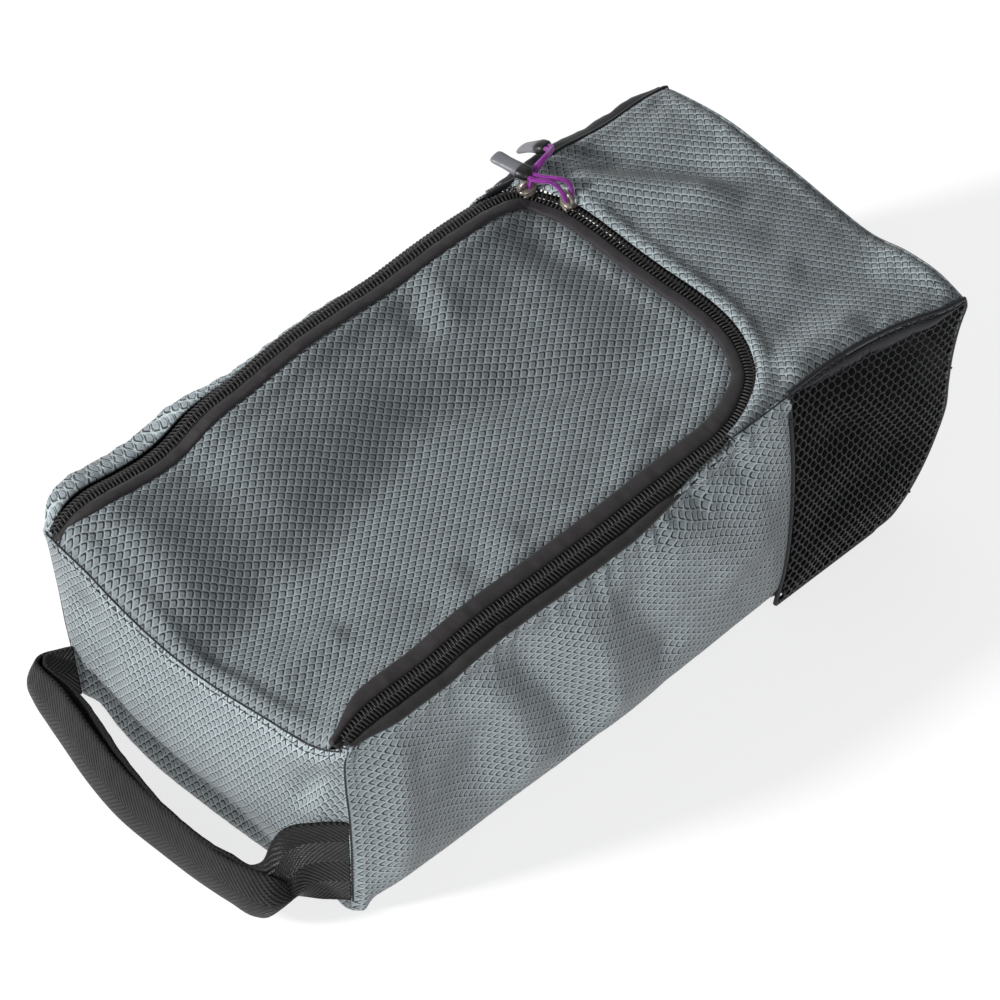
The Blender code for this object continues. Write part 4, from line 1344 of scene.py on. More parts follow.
def toe_base(x, y):
    """Height of the toe top before it is drawn to its seams."""
    z = spline([0.05, 0.105, 0.125, 0.150, 0.175, 0.190],
               [0.1115, 0.1125, 0.1120, 0.1105, 0.1085, 0.1060], y)
    z = z + creases(x, y, TOE_TOP_FOLDS)
    return z + 0.0008 * wave2(x, y, 50, 0.07) + 0.0002 * wave2(x, y, 52, 0.02)


def build_toe_top():
    at = np.linspace(zip_at_left(0.0700), zip_at_right(0.0530), 330)
    off_left = 1 - np.clip(-along_zip(at, ZIP_OUT[:, 0]), 0, 1) ** 2
    lifted = off_left * step(at - at[0], 0.0, 0.030)
    zip_edge = beside_zip(at, 0.0046 - 0.0044 * lifted, 0.0004 + 0.0024 * lifted)
    left_y = np.linspace(0.1872, 0.0740, 90)[2:]
    left = xyz(LEFT_SIDE_X, left_y, left_toe_height(left_y))
    rim = drop_close(np.concatenate([zip_edge, RIGHT_TOE_SEAM[4:-1:2], TOE_EDGE, left]), 0.0003)
    mismatch = rim[:, 2] - toe_base(rim[:, 0], rim[:, 1])
    zip_loop = np.concatenate([zip_edge[:, :2], zip_edge[::-1, :2]])

    def lift(x, y):
        flat = np.stack([x, y], 1)
        z = toe_base(x, y) + draw_in(flat, rim[:, :2], mismatch, reach=0.026)
        from_rim = edge_distance(flat, rim[:, :2])
        from_zip = edge_distance(flat, zip_loop)
        z = z + 0.0012 * bell(from_rim, 0.0050, 0.0036)
        z = z + roll(from_rim, 0.0011, 0.0016) * step(from_zip, 0.001, 0.004)
        z = z + 0.0012 * bell(from_zip, 0.0030, 0.0030)
        z = z + 0.0004 * gathered(x + 0.6 * y, 55, 0.012, from_rim, 0.008)
        return np.stack([x, y, z], 1)

    ob = sheet("toe_top_fabric", rim[:, :2], SPACING, lift, TOE_WEAVE, uv=lambda x, y: (y, -x))
    return cloth(ob, (0, 0, 1), pile=(-0.45, -0.9, 0), strength=1.2)


# ---- base


def build_base(right_foot, left_foot, end_foot):
    outline = drop_close(np.concatenate([
        end_foot[::2, :2] + [0, 0.0003],
        right_foot[::2, :2] - [0.0003, 0],
        [(0.0930, 0.085), (0.0927, 0.105), (0.0920, 0.1318)],
        [(0.060, 0.1322), (0.0, 0.1322), (-0.060, 0.1322)],
        [(-0.0915, 0.1318), (-0.0924, 0.105), (-0.0930, 0.085)],
        left_foot[::-2, :2] + [0.0003, 0],
    ]), 0.0006)

    def lift(x, y):
        from_rim = edge_distance(np.stack([x, y], 1), outline)
        uneven = 0.00015 * (1 + wave2(x, y, 61, 0.05)) * step(from_rim, 0.004, 0.02)
        return np.stack([x, y, 0.0002 + 0.0010 * bell(from_rim, 0, 0.004) + uneven], 1)

    ob = sheet("base_fabric", outline, 0.0034 * COARSE, lift, SIDE_WEAVE)
    return cloth(ob, (0, 0, -1), pile=(1, 0, 0), strength=0.2, thickness=0.0008)


side_right, RIGHT_FOOT_ROW = build_right_side()
side_left, LEFT_FOOT_ROW = build_left_side()
handle_end, END_POINTS = build_handle_end()
toe_end, TOE_POINTS = build_toe_end()
toe_top = build_toe_top()
base = build_base(RIGHT_FOOT_ROW, LEFT_FOOT_ROW, END_POINTS[-1])

# =============================================================== nets

NET_PITCH = 0.0040                       # width of one hexagon
# half width and half thickness of a strand at its two knots and middle
STRAND_WIDTHS = np.array([0.00066, 0.00042, 0.00066])
STRAND_HEIGHTS = np.array([0.00040, 0.00030, 0.00040])


def net_strands(outline):
    """Both ends, as y and z, of each strand of a hexagonal lattice within an outline."""
    radius = NET_PITCH / math.sqrt(3)
    low, high = outline.min(0) - 0.01, outline.max(0) + 0.01
    rows = int((high[1] - low[1]) / (1.5 * radius)) + 2
    columns = int((high[0] - low[0]) / NET_PITCH) + 2
    turns = [(math.cos(math.radians(a)), math.sin(math.radians(a))) for a in (30, 90, 150, 210)]
    starts, ends = [], []
    for i in range(rows):
        for j in range(columns):
            y = low[0] + (j + 0.5 * (i % 2)) * NET_PITCH
            z = low[1] + i * 1.5 * radius
            corners = [(y + radius * cosine, z + radius * sine) for cosine, sine in turns]
            starts += corners[:3]
            ends += corners[1:]
    starts, ends = np.array(starts), np.array(ends)
    start_in, end_in = inside(starts, outline), inside(ends, outline)
    used = start_in | end_in
    starts, ends, start_in, end_in = starts[used], ends[used], start_in[used], end_in[used]
    # pull outside ends back towards the outline
    for _ in range(7):
        middle = (starts + ends) / 2
        middle_out = ~inside(middle, outline)
        starts = np.where((~start_in & middle_out)[:, None], middle, starts)
        ends = np.where((~end_in & middle_out)[:, None], middle, ends)
        start_in, end_in = start_in | inside(starts, outline), end_in | inside(ends, outline)
    at_start = edge_distance(starts, outline) < 0.0009
    at_end = edge_distance(ends, outline) < 0.0009
    starts, ends = (np.where(at_start[:, None], starts + 0.35 * (ends - starts), starts),
                    np.where(at_end[:, None], ends + 0.35 * (starts - ends), ends))
    kept = ~(at_start & at_end)
    return starts[kept], ends[kept]


def net(name, side, front, top, corner):
    """Open hexagonal net over the toe end of a side (side is +1 right, -1 left), with
    strands as real geometry. Returns it and its rim."""
    corner = corner[corner[:, 1] > 0.1305]
    foot = np.linspace(corner[-1], front[-1], 30)
    foot[:, 2] = FLOOR_Z
    loop = np.concatenate([front[::-1], top[1:], corner[1:], foot[1:-1]])
    outline = loop[:, 1:3]
    outline_x = loop[:, 0]

    def place(flat, lift=0.0):
        """3D places, on the bulging net, of points given as y and z."""
        distance = np.sqrt(((flat[:, None, :] - outline[None]) ** 2).sum(-1)) + 1e-6
        weight = distance**-2.2
        x = (weight * outline_x[None]).sum(1) / weight.sum(1)
        from_rim = edge_distance(flat, outline)
        y, z = flat[:, 0], flat[:, 1]
        bulge = 0.0030 * (1 - np.exp(-from_rim / 0.016))
        bulge = bulge + 0.0016 * wave2(y, z, 70 + side, 0.05) * step(from_rim, 0.002, 0.016)
        bulge = bulge + step(from_rim, 0, 0.01) * creases(y, z, [
            (-0.0022, 0.009, [(0.100, 0.090), (0.130, 0.060), (0.150, 0.030)]),
            (0.0018, 0.009, [(0.110, 0.096), (0.145, 0.072), (0.168, 0.050)])])
        return np.stack([x + side * (bulge + lift), y, z], 1)

    starts, ends = map(place, net_strands(outline))
    centres = np.stack([starts, (starts + ends) / 2, ends], 1)
    tangents = unit(ends - starts, tiny=1e-12)
    across = unit(np.cross(tangents, (side, 0.0, 0.0)), tiny=1e-12)
    ob = tube_set(name, centres, across[:, None], np.cross(across, tangents)[:, None],
                  STRAND_WIDTHS, STRAND_HEIGHTS, [1, 2], NET)
    rim = place(outline, -0.0010)
    return ob, resample(np.concatenate([rim, rim[:1]]), 300)


# share of the tape's width down from the seam, distance out
NET_TAPE_SECTION = [
    (0.0, -0.0006), (0.0, 0.0004), (0.15, 0.0014), (0.40, 0.0018), (0.70, 0.0016),
    (0.93, 0.0010), (1.0, 0.0002), (0.93, -0.0006), (0.5, -0.0008)]


def net_edge(name, rim, top, out, width):
    """The net's bound edge: a rounded cord all round and a flat folded tape on top.
    out scales and signs the tape's section along x; width is a function of the share
    of the length."""
    cord = tube(name + "_cord", rim, 0.0014, NET, flat=0.8)
    line = resample(top, 110)
    along = arc_length(line)
    left_over = along[-1] - along
    ripple = 0.0004 * wave(along, 97, 0.022)
    taper = 0.12 + 0.88 * step(along, 0.0, 0.030) * (0.4 + 0.6 * step(left_over, 0.0, 0.020))
    drop = width(along / along[-1]) * (0.25 + 0.75 * taper)
    columns = []
    for share, height in NET_TAPE_SECTION:
        outward = out * (height + ripple * share + 0.10 * drop * share) * taper
        columns.append(line + xyz(outward, 0.0, -drop * share))
    tape = closed_strip(name, np.stack(columns, 1), along, np.linspace(0, 0.02, len(columns)), NET)
    for ob in bpy.context.selected_objects:
        ob.select_set(False)
    for ob in (tape, cord):
        ob.select_set(True)
    bpy.context.view_layer.objects.active = tape
    bpy.ops.object.join()
    return tape


left_net_y = np.linspace(0.0782, 0.1872, 60)
net_right, right_rim = net("net_right", 1, RIGHT_NET_SEAM, RIGHT_TOE_SEAM[RIGHT_SEAM_Y > 0.0885],
                           TOE_POINTS[:, -1])
net_left, left_rim = net("net_left", -1, LEFT_NET_SEAM,
                         xyz(LEFT_SIDE_X, left_net_y, left_toe_height(left_net_y) - 0.0004),
                         TOE_POINTS[:, 0])
tape_seam = RIGHT_TOE_SEAM[(RIGHT_SEAM_Y > 0.086) & (RIGHT_SEAM_Y < 0.186)]
left_tape_y = np.linspace(0.0720, 0.1860, 90)
edge_right = net_edge(
    "net_edge_right", right_rim, tape_seam - [0.0006, 0, 0.0012], out=1.0,
    width=lambda share: 0.0020 + 0.0062 * np.sin(np.pi * np.clip(share, 0, 1)) ** 1.2)
edge_left = net_edge(
    "net_edge_left", left_rim,
    xyz(-0.0938, left_tape_y, left_toe_height(left_tape_y) - 0.0010), out=-2.7,
    width=lambda share: 0.0054 + 0 * share)

# =============================================================== seam threads, dark seam lines (partly thread, partly painted seam shadow) and top stitching


def hinge_stitches(line, length=0.0026, gap=0.0010, radius=0.00022):
    """A row of separate thread stitches on the handle-end panel, under the hinge seam."""
    sides = 6
    along = arc_length(line)
    angles = np.linspace(0, 2 * math.pi, sides, endpoint=False)
    # for each of the six sections of a stitch: lift off the cloth and thickness
    lifts = np.array([-0.6, 0.3, 0.7, 0.7, 0.3, -0.6]) * radius
    radii = np.array([0.6, 1, 1, 1, 1, 0.6]) * radius
    sections = len(radii)
    cosines, sines = np.cos(angles)[:, None], np.sin(angles)[:, None]
    stitch_uv = uv_grid(np.arange(sections) * length / 5, angles / 6.283)
    points, faces = [], []
    at = 0.001
    while at + length < along[-1] - 0.001:
        stations = np.linspace(at, at + length, sections)
        path = np.stack([np.interp(stations, along, line[:, k]) for k in range(3)], 1)
        path[:, 1] -= lifts
        tangents = unit(np.gradient(path, axis=0))
        across = unit(np.cross(tangents, (0.1, 0.2, 0.97)))
        up = np.cross(tangents, across)
        faces += tube_faces(sections, sides, start=len(points) * sections * sides)
        ring = across[:, None] * cosines + up[:, None] * sines
        points.append(path[:, None] + radii[:, None, None] * ring)
        at += length + gap
    return mesh_object("hinge_top_stitching", np.array(points), faces,
                       np.array([stitch_uv] * len(points)), THREAD, outward=True)


# the dark cord in the groove between lid and handle end, partly seam cord and partly a painted seam
# shadow, with stitching below it
cord_x = np.linspace(-0.0905, 0.0895, 260)
hinge_line = xyz(cord_x, HINGE_Y - 0.0001, hinge_height(cord_x) - 0.0006)
stitch_row = np.argmin(np.abs(np.linspace(0, 1, len(END_POINTS)) - 0.034))
stitch_line = END_POINTS[stitch_row, 3:-4] - [0, 0.0003, 0]
toe_seam = RIGHT_TOE_SEAM[(RIGHT_SEAM_Y > 0.0545) & (RIGHT_SEAM_Y < 0.0900)]
toe_line = resample(TOE_EDGE, 160) - [0, 0.0002, 0.0010]
threads = [
    tube("hinge_seam_cord", hinge_line, 0.00042, THREAD),
    hinge_stitches(resample(stitch_line, 400)),
    # the corner and toe seam tubes: dark lines in the seam grooves, partly thread and partly a
    # painted seam shadow
    tube("corner_seam_right", resample(RIGHT_CORNER[2:-5], 120) + [-0.0001, 0.0005, 0],
         0.00050, THREAD, sides=6),
    tube("corner_seam_left", curve(LEFT_CORNER_STATIONS, 120)[2:-24] + [0.0006, 0.0004, 0],
         0.00045, THREAD, sides=6),
    tube("toe_seam_right", toe_seam + [0.0002, 0, 0.0002], 0.00042, THREAD, sides=6),
    tube("toe_seam_end", toe_line - [0, 0.0016, 0.0018], 0.00045, THREAD, sides=6),
]

# =============================================================== handle

# the web from the right corner seam round to the left one, as x, y, z along its inner
# selvedge, its fold and its outer selvedge
WEB_INNER = np.array([
    (0.0932, -0.1868, 0.0594), (0.0890, -0.1920, 0.0592), (0.0830, -0.1985, 0.0588),
    (0.0775, -0.2045, 0.0578), (0.0734, -0.2085, 0.0540), (0.0712, -0.2118, 0.0480),
    (0.0704, -0.2150, 0.0400), (0.0659, -0.2178, 0.0345), (0.0540, -0.2195, 0.0335),
    (0.0405, -0.2208, 0.0330), (0.0149, -0.2196, 0.0330), (-0.0163, -0.2129, 0.0328),
    (-0.0418, -0.2048, 0.0326), (-0.0595, -0.1984, 0.0305), (-0.0720, -0.1952, 0.0280),
    (-0.0830, -0.1932, 0.0258), (-0.0905, -0.1915, 0.0248), (-0.0938, -0.1882, 0.0243),
    (-0.0922, -0.1820, 0.0242), (-0.0895, -0.1760, 0.0242)])
WEB_FOLD = np.array([
    (0.0932, -0.1868, 0.0356), (0.0890, -0.1920, 0.0354), (0.0835, -0.1978, 0.0348),
    (0.0795, -0.2030, 0.0325), (0.0775, -0.2085, 0.0265), (0.0768, -0.2140, 0.0180),
    (0.0755, -0.2182, 0.0105), (0.0700, -0.2206, 0.0072), (0.0560, -0.2219, 0.0065),
    (0.0400, -0.2229, 0.0064), (0.0150, -0.2228, 0.0064), (-0.0150, -0.2213, 0.0064),
    (-0.0410, -0.2155, 0.0064), (-0.0600, -0.2094, 0.0064), (-0.0750, -0.2044, 0.0065),
    (-0.0880, -0.1995, 0.0068), (-0.0945, -0.1955, 0.0070), (-0.0940, -0.1905, 0.0055),
    (-0.0880, -0.1840, 0.0030), (-0.0812, -0.1790, 0.0016)])
WEB_OUTER = np.array([
    (0.0932, -0.1868, 0.0118), (0.0892, -0.1915, 0.0116), (0.0845, -0.1960, 0.0118),
    (0.0805, -0.2000, 0.0130), (0.0785, -0.2045, 0.0165), (0.0775, -0.2100, 0.0235),
    (0.0757, -0.2155, 0.0288), (0.0690, -0.2200, 0.0300), (0.0560, -0.2231, 0.0292),
    (0.0400, -0.2236, 0.0290), (0.0150, -0.2222, 0.0290), (-0.0150, -0.2185, 0.0290),
    (-0.0410, -0.2125, 0.0290), (-0.0600, -0.2068, 0.0289), (-0.0750, -0.2016, 0.0272),
    (-0.0884, -0.1968, 0.0248), (-0.0948, -0.1930, 0.0238), (-0.0958, -0.1885, 0.0235),
    (-0.0936, -0.1822, 0.0234), (-0.0905, -0.1757, 0.0234)])
# at each of those stations: share of the grip's shift of the outer selvedge, and how
# far the folded side puffs out
WEB_GRIP = np.array([0, 0, 0, 0, 0, 0.3, 0.7, 1, 1, 1, 1, 1, 1, 1, 0.8, 0.4, 0.1, 0, 0, 0.0])
WEB_PUFF = np.array([
    0.0, 0.0, 0.0006, 0.0022, 0.0044, 0.0052, 0.0046, 0.0032, 0.0024, 0.0022,
    0.0022, 0.0022, 0.0022, 0.0024, 0.0026, 0.0028, 0.0026, 0.0018, 0.0010, 0.0004])


def build_handle():
    edges = [WEB_INNER, WEB_FOLD, WEB_OUTER + WEB_GRIP[:, None] * [0.0, 0.0026, 0.0030]]
    for edge in edges:
        edge[0] += (0.0012, -0.0006, 0)
    stations = arc_length((edges[0] + edges[1] + edges[2]) / 3)
    count = int(330 / COARSE)
    along = np.linspace(0, stations[-1], count)
    inner, fold, outer = (spline(stations, edge, along) for edge in edges)
    puff = spline(stations, WEB_PUFF, along)
    tangents = np.gradient(fold, axis=0)
    tangents[:, 2] = 0
    outward = np.cross(unit(smooth(tangents, 20)), (0, 0, 1.0))
    outward *= np.sign(-outward[count // 2, 1])
    across = np.linspace(-1, 1, 41)      # -1 outer selvedge, 0 fold, 1 inner selvedge
    points = np.empty((count, len(across), 3))
    for j, place in enumerate(across):
        share = abs(place)
        crown = math.sin(math.pi * share**0.85)
        edge = inner if place >= 0 else outer
        bulge = -0.0009 * crown + 0 * puff if place >= 0 else crown * puff
        points[:, j] = fold + (edge - fold) * share + outward * bulge[:, None]
        if place < 0:
            points[:, j, 2] -= 0.10 * bulge
    points = smooth(points.swapaxes(0, 1), 5).swapaxes(0, 1)
    points = smooth(points, 4)
    ripple = (0.00016 * wave(along, 81, 0.034)[:, None] * np.abs(across) ** 2
              + 0.00007 * wave(along, 83, 0.012)[:, None] * np.abs(across) ** 3)
    points = points + outward[:, None, :] * ripple[..., None]
    points[..., 2] = np.maximum(points[..., 2], 0.0010)
    ob = grid("handle_webbing", points, uv_grid(along, across * 0.024), WEBBING)
    return thicken(ob, 0.0016, 0.0, use_even_offset=False)


handle = build_handle()

# =============================================================== sliders

SLIDER_LENGTH = 0.0086
SLIDER_WIDTH = 0.0066
# scale of the shield outline, height
SLIDER_RINGS = [(1.00, -0.0004), (1.03, 0.0002), (1.02, 0.0008), (0.94, 0.0012),
                (0.80, 0.0014), (0.60, 0.0016), (0.35, 0.0018)]
# share of the half width, height
GUIDE_SECTION = [(0.80, -0.0004), (1.00, -0.0004), (1.03, -0.0016), (0.98, -0.0026),
                 (0.84, -0.0026), (0.86, -0.0016)]


def squared_circle(angle, power):
    """A point on a unit circle, squared off by a power below 1."""
    cosine, sine = math.cos(angle), math.sin(angle)
    return math.copysign(abs(cosine) ** power, cosine), math.copysign(abs(sine) ** power, sine)


def skin(bm, rings):
    """Quads between neighbouring rings of vertices."""
    for lower, upper in zip(rings, rings[1:]):
        count = len(lower)
        for i in range(count):
            after = (i + 1) % count
            bm.faces.new((lower[i], lower[after], upper[after], upper[i]))


def slider_plate(bm):
    """Shield-shaped domed plate, nose forward along local +X."""
    half_length, half_width = SLIDER_LENGTH / 2, SLIDER_WIDTH / 2
    count = 28
    outline = []
    for i in range(count):
        angle = 2 * math.pi * i / count
        narrowing = 1.0 - 0.24 * step(math.cos(angle) * half_length, -0.0005, half_length)
        x, y = squared_circle(angle, 0.72)
        outline.append((x * half_length, y * half_width * float(narrowing)))
    rings = [[bm.verts.new((x * scale, y * scale, z)) for x, y in outline]
             for scale, z in SLIDER_RINGS]
    bottom = [bm.verts.new((x * 0.86, y * 0.86, -0.0004)) for x, y in outline]
    skin(bm, rings)
    bm.faces.new(rings[-1])
    skin(bm, [bottom, rings[0]])
    bm.faces.new(bottom[::-1])


def slider_guides(bm):
    """Side guides that wrap down round the coil."""
    nose = SLIDER_LENGTH * 0.30
    for side in (-1, 1):
        rings = []
        for x in np.linspace(-SLIDER_LENGTH * 0.38, nose, 7):
            half_width = SLIDER_WIDTH / 2 * (1.0 - 0.16 * max(0.0, x / nose) ** 2)
            rings.append([bm.verts.new((x, side * share * half_width, z))
                          for share, z in GUIDE_SECTION])
        skin(bm, rings)
        bm.faces.new(rings[0])
        bm.faces.new(rings[-1][::-1])


def slider_bridge(bm):
    """Arched bar from tail to nose that holds the cord."""
    count = 15
    path = []
    for i in range(count):
        t = i / (count - 1)
        path.append(Vector(((t - 0.5) * 0.0084, 0, 0.0010 + 0.0044 * math.sin(math.pi * t) ** 0.55)))
    across = Vector((0, 1, 0))
    rings = []
    for i, point in enumerate(path):
        tangent = (path[min(i + 1, count - 1)] - path[max(i - 1, 0)]).normalized()
        up = tangent.cross(across)
        half_width = 0.0011 - 0.0003 * math.sin(math.pi * i / (count - 1))
        ring = []
        for j in range(10):
            x, y = squared_circle(2 * math.pi * j / 10, 0.7)
            ring.append(bm.verts.new(point + across * (x * half_width) + up * (y * 0.00048)))
        rings.append(ring)
    skin(bm, rings)
    bm.faces.new(rings[0])
    bm.faces.new(rings[-1][::-1])


def slider(name, centre, yaw):
    bm = bmesh.new()
    slider_plate(bm)
    slider_guides(bm)
    slider_bridge(bm)
    bmesh.ops.recalc_face_normals(bm, faces=bm.faces)
    placing = Matrix.Translation(centre) @ Matrix.Rotation(math.radians(yaw), 4, "Z")
    bmesh.ops.transform(bm, matrix=placing, verts=bm.verts)
    mesh = bpy.data.meshes.new(name)
    bm.to_mesh(mesh)
    bm.free()
    set_uv(mesh, np.array([v.co for v in mesh.vertices])[:, :2])
    return link_mesh(name, mesh, METAL)


slider_left = slider("slider_left_cast", (-0.0836, 0.0948, 0.1130), yaw=78)
slider_right = slider("slider_right_cast", (-0.0658, 0.1024, 0.1122), yaw=180 - 12)

# =============================================================== pulls

PULL_CORD_RADIUS = 0.00108
PULL_LOOP_RADIUS = 0.0017
# distance along the pull, half width, half height, squareness power
COLLAR_STATIONS = [
    (-0.0006, 0.0022, 0.0014, 1.0), (0.0, 0.0030, 0.0020, 0.9), (0.0010, 0.0036, 0.0024, 0.85),
    (0.0030, 0.0039, 0.0026, 0.8), (0.0048, 0.0040, 0.0026, 0.8), (0.0054, 0.0038, 0.0024, 0.8)]
TAB_NECK = 0.0056


def tab_stations(length):
    """The same columns for a tab that ends at length."""
    body = length - TAB_NECK
    return [
        (0.0050, 0.0034, 0.0021, 0.8), (TAB_NECK, 0.0037, 0.0023, 0.8),
        (TAB_NECK + body * 0.25, 0.0035, 0.0020, 0.8),
        (TAB_NECK + body * 0.50, 0.0034, 0.0018, 0.8),
        (TAB_NECK + body * 0.75, 0.0036, 0.0017, 0.8), (length - 0.0016, 0.0037, 0.0016, 0.85),
        (length - 0.0004, 0.0032, 0.0012, 0.9), (length, 0.0022, 0.0006, 1.0)]


def bezier(start, first, second, end, count):
    t = np.linspace(0, 1, count)[:, None]
    return (start * (1 - t) ** 3 + 3 * first * (1 - t) ** 2 * t
            + 3 * second * (1 - t) * t * t + end * t**3)


def pull(tag, bridge, across, collar, direction, length, rises, bend=(0, 0, 0)):
    """Cord doubled through a bridge, its strands meeting in a collar and a moulded tab.
    rises are the ways the two strands leave the bridge; bend shifts the tab's tip."""
    bridge, collar, bend = (np.array(v, float) for v in (bridge, collar, bend))
    across = unit(np.array(across, float))
    forward = unit(np.array(direction, float))
    side = unit(np.cross(forward, (0, 0, 1)))
    up = np.cross(side, forward)
    strands = []
    for sign, rise in zip((1, -1), rises):
        foot = bridge + across * PULL_LOOP_RADIUS * sign + [0, 0, 0.0012]
        strands.append(bezier(foot, foot + rise, collar - forward * 0.0095 + side * sign * 0.0016,
                              collar + side * sign * 0.0012, 26))
    angles = np.radians(np.linspace(0, -180, 13))[:, None]
    loop = bridge + PULL_LOOP_RADIUS * (across * np.cos(angles)
                                        + np.array([0, 0, 1.0]) * np.sin(angles))
    path = smooth(np.concatenate([strands[0][::-1], loop[1:-1], strands[1]]), 3)
    cord = tube(f"pull_cord_{tag}_braid", resample(path, 110), PULL_CORD_RADIUS, CORD, sides=12)

    def loft(name, stations, material):
        """A run of squared ovals along the pull."""
        sides = 20
        rings = []
        for at, half_width, half_height, power in stations:
            curl = (max(at - 0.006, 0) / (length - 0.006)) ** 1.6
            centre = collar + forward * at + bend * curl
            for j in range(sides):
                x, y = squared_circle(2 * math.pi * j / sides, power)
                rings.append(centre + side * (x * half_width) + up * (y * half_height))
        ats = np.array([station[0] for station in stations])
        return mesh_object(name, np.array(rings), tube_faces(len(stations), sides),
                           uv_grid(ats, np.linspace(0, 0.02, sides)), material, outward=True)

    return (cord, loft(f"pull_collar_{tag}_moulded", COLLAR_STATIONS, COLLAR),
            loft(f"pull_tab_{tag}_moulded", tab_stations(length), TAB))


pull_left = pull("left", bridge=(-0.0838, 0.0950, 0.1152), across=(1, 0.1, 0),
                 collar=(-0.0925, 0.1155, 0.1172), direction=(-0.80, -0.02, -0.50), length=0.0190,
                 rises=((-0.001, 0.004, 0.010), (0.003, 0.008, 0.012)), bend=(0.0002, 0, -0.0022))
pull_right = pull("right", bridge=(-0.0655, 0.1024, 0.1148), across=(0.12, 1, 0),
                  collar=(-0.0815, 0.0945, 0.1232), direction=(-0.985, -0.14, 0.02),
                  length=0.0195, rises=((-0.002, 0.003, 0.011), (-0.008, -0.001, 0.012)))

# =============================================================== internal bindings

# share of the width off the seam, half thickness
BINDING_SECTION = [(0.0, -0.0007), (0.35, -0.0009), (0.8, -0.0009), (1.0, -0.0004),
                   (1.0, 0.0004), (0.8, 0.0009), (0.35, 0.0009), (0.0, 0.0007)]


def binding(name, seam, shift, way, width=0.0080):
    """Folded grosgrain binding that stands off a seam, shifted into the bag, along way."""
    line = resample(seam + np.array(shift), 90)
    way = unit(np.array(way, float))
    across = unit(np.cross(unit(np.gradient(line, axis=0)), way))
    along = arc_length(line)
    ripple = 0.0005 * wave(along, 91, 0.03)[:, None]
    points = np.stack([line + way * (width * share) + across * (height + ripple * share)
                       for share, height in BINDING_SECTION], 1)
    return closed_strip(name, points, along, np.linspace(0, 0.018, len(BINDING_SECTION)), BINDING)


bindings = {
    "binding_base_right": binding("base_binding_right", RIGHT_FOOT_ROW[8:-6],
                                  (-0.0040, 0, 0.0022), (-0.35, 0, 1)),
    "binding_base_left": binding("base_binding_left", LEFT_FOOT_ROW[8:-6],
                                 (0.0040, 0, 0.0022), (0.35, 0, 1)),
    "binding_corner_right": binding("corner_binding_right", RIGHT_CORNER[8:-8],
                                    (-0.0030, 0.0036, 0), (-0.7, 0.7, 0)),
    "binding_corner_left": binding("corner_binding_left", LEFT_CORNER[8:-8],
                                   (0.0030, 0.0036, 0), (0.7, 0.7, 0)),
    "binding_handle_end": binding("end_binding", END_POINTS[-1][8:-8],
                                  (0, 0.0050, 0.0022), (0, 0.35, 1)),
    "binding_hinge": binding("hinge_binding", END_TOP[12:-12],
                             (0, 0.0026, -0.0030), (0, 0.30, -1), width=0.0070),
    "binding_toe_end": binding("toe_binding", toe_line[8:-8],
                               (0, -0.0040, -0.0030), (0, -0.8, -0.7)),
}

# =============================================================== bodies

panels = (lid, side_right, side_left, handle_end, toe_end, toe_top, base)
net_parts = (net_right, net_left, edge_right, edge_left)

# the lid's pieces get their placing baked into their meshes
for ob in (lid, band, lid_tape, lid_teeth):
    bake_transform(ob)
for ob in (*panels[1:], *net_parts, outer_tape, body_teeth, *threads, *bindings.values()):
    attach(ob, "root")
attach(slider_left, "slider_left")
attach(slider_right, "slider_right")
for ob in pull_left:
    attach(ob, "pull_left")
for ob in pull_right:
    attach(ob, "pull_right")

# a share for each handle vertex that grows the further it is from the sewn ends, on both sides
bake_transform(handle)
off_middle = np.abs([v.co.x for v in handle.data.vertices])
share = np.clip((0.0930 - off_middle) / 0.040, 0, 1) ** 1.15
share = step(share, 0, 1) * 0.55 + share * 0.45

for ob, *pieces in (
    (lid, "lid_panel"),
    (band, "lid_edge_band"),
    (lid_tape, "zip_tape_inner"),
    (lid_teeth, "zip_coil_inner"),
    (outer_tape, "zip_tape_outer"),
    (body_teeth, "zip_coil_outer"),
    (side_right, "side_panel_right"),
    (side_left, "side_panel_left"),
    (handle_end, "handle_end_panel"),
    (toe_end, "toe_end_panel"),
    (toe_top, "toe_top_panel"),
    (base, "base_panel"),
    (net_right, "mesh_panel_right"),
    (net_left, "mesh_panel_left"),
    (handle, "handle_grip", "handle_anchor_left", "handle_anchor_right"),
    (slider_left, "slider_left"),
    (slider_right, "slider_right"),
):
    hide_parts(*pieces)
for parts, side in ((pull_left, "left"), (pull_right, "right")):
    for ob, kind in zip(parts, ("cord", "collar", "tab")):
        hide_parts(f"pull_{kind}_{side}")
for piece, ob in bindings.items():
    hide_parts(piece)

# =============================================================== studio


def build_floor():
    """A wide, softly glowing floor."""
    mat = Shader("studio_floor")
    mat.finish((0.34, 0.34, 0.34), 0.9, specular=0.0)
    mat.surface.inputs["Emission Color"].default_value = (1, 1, 1, 1)
    mat.surface.inputs["Emission Strength"].default_value = 0.74
    bpy.ops.mesh.primitive_plane_add(size=400, location=(0, 0, 0.0))
    floor = bpy.context.object
    floor.name = "studio_floor"
    floor.data.materials.append(mat.material)


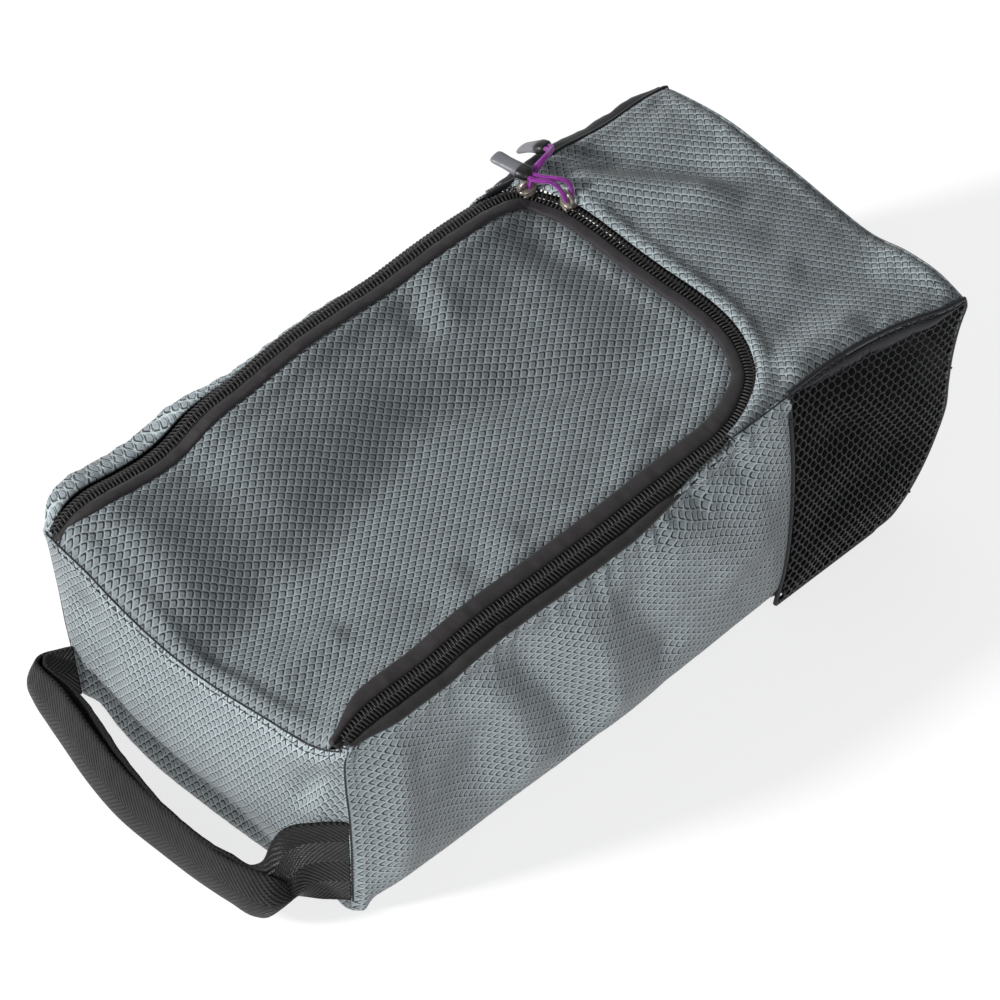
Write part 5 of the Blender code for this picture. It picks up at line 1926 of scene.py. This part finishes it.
def sun(name, direction, energy, angle):
    """A sun that shines from direction; angle is its spread in degrees."""
    light = bpy.data.lights.new(name, "SUN")
    light.energy = energy
    light.angle = math.radians(angle)
    light.color = (1, 1, 1)
    ob = bpy.data.objects.new(name, light)
    ob.rotation_mode = "QUATERNION"
    ob.rotation_quaternion = Vector(direction).normalized().to_track_quat("Z", "Y")
    bpy.context.scene.collection.objects.link(ob)


def build_world():
    """A dim cool surround that the camera sees as plain white."""
    world = bpy.data.worlds.new("studio")
    bpy.context.scene.world = world
    world.use_nodes = True
    nodes, links = world.node_tree.nodes, world.node_tree.links
    dim = nodes["Background"]
    dim.inputs[0].default_value = (0.97, 0.985, 1.0, 1)
    dim.inputs[1].default_value = 0.24
    seen = nodes.new("ShaderNodeBackground")
    seen.inputs[0].default_value = (1, 1, 1, 1)
    seen.inputs[1].default_value = 1.0
    rays = nodes.new("ShaderNodeLightPath")
    either = nodes.new("ShaderNodeMixShader")
    links.new(rays.outputs["Is Camera Ray"], either.inputs[0])
    links.new(dim.outputs[0], either.inputs[1])
    links.new(seen.outputs[0], either.inputs[2])
    links.new(either.outputs[0], nodes["World Output"].inputs[0])


VIEW_TARGET = Vector((-0.0208, 0.01461, 0.02384))
VIEW_DISTANCE = 20.0                     # far off, for a nearly parallel view
VIEW_WIDTH = 0.43312543                  # width seen at the target


def build_camera():
    data = bpy.data.cameras.new("camera")
    camera = bpy.data.objects.new("camera", data)
    bpy.context.scene.collection.objects.link(camera)
    bpy.context.scene.camera = camera
    back = Vector((0.5028, -0.4688, 0.7261)).normalized()
    up = back.cross(Vector((0.698, 0.716, -0.021)).normalized()).normalized()
    right = up.cross(back).normalized()
    placing = Matrix((right, up, back)).transposed().to_4x4()
    placing.translation = VIEW_TARGET + back * VIEW_DISTANCE
    camera.matrix_world = placing
    data.sensor_width = 36
    data.lens = data.sensor_width * VIEW_DISTANCE / VIEW_WIDTH
    data.clip_start = 1
    data.clip_end = 500


build_floor()
sun("key", direction=(-0.50, -1.00, 0.55), energy=3.9, angle=9)
sun("fill", direction=(1.0, -0.45, 0.40), energy=0.9, angle=30)
sun("top", direction=(-0.8, 0.7, 0.9), energy=0.30, angle=40)
build_world()
build_camera()
bpy.context.scene.view_settings.view_transform = "Standard"
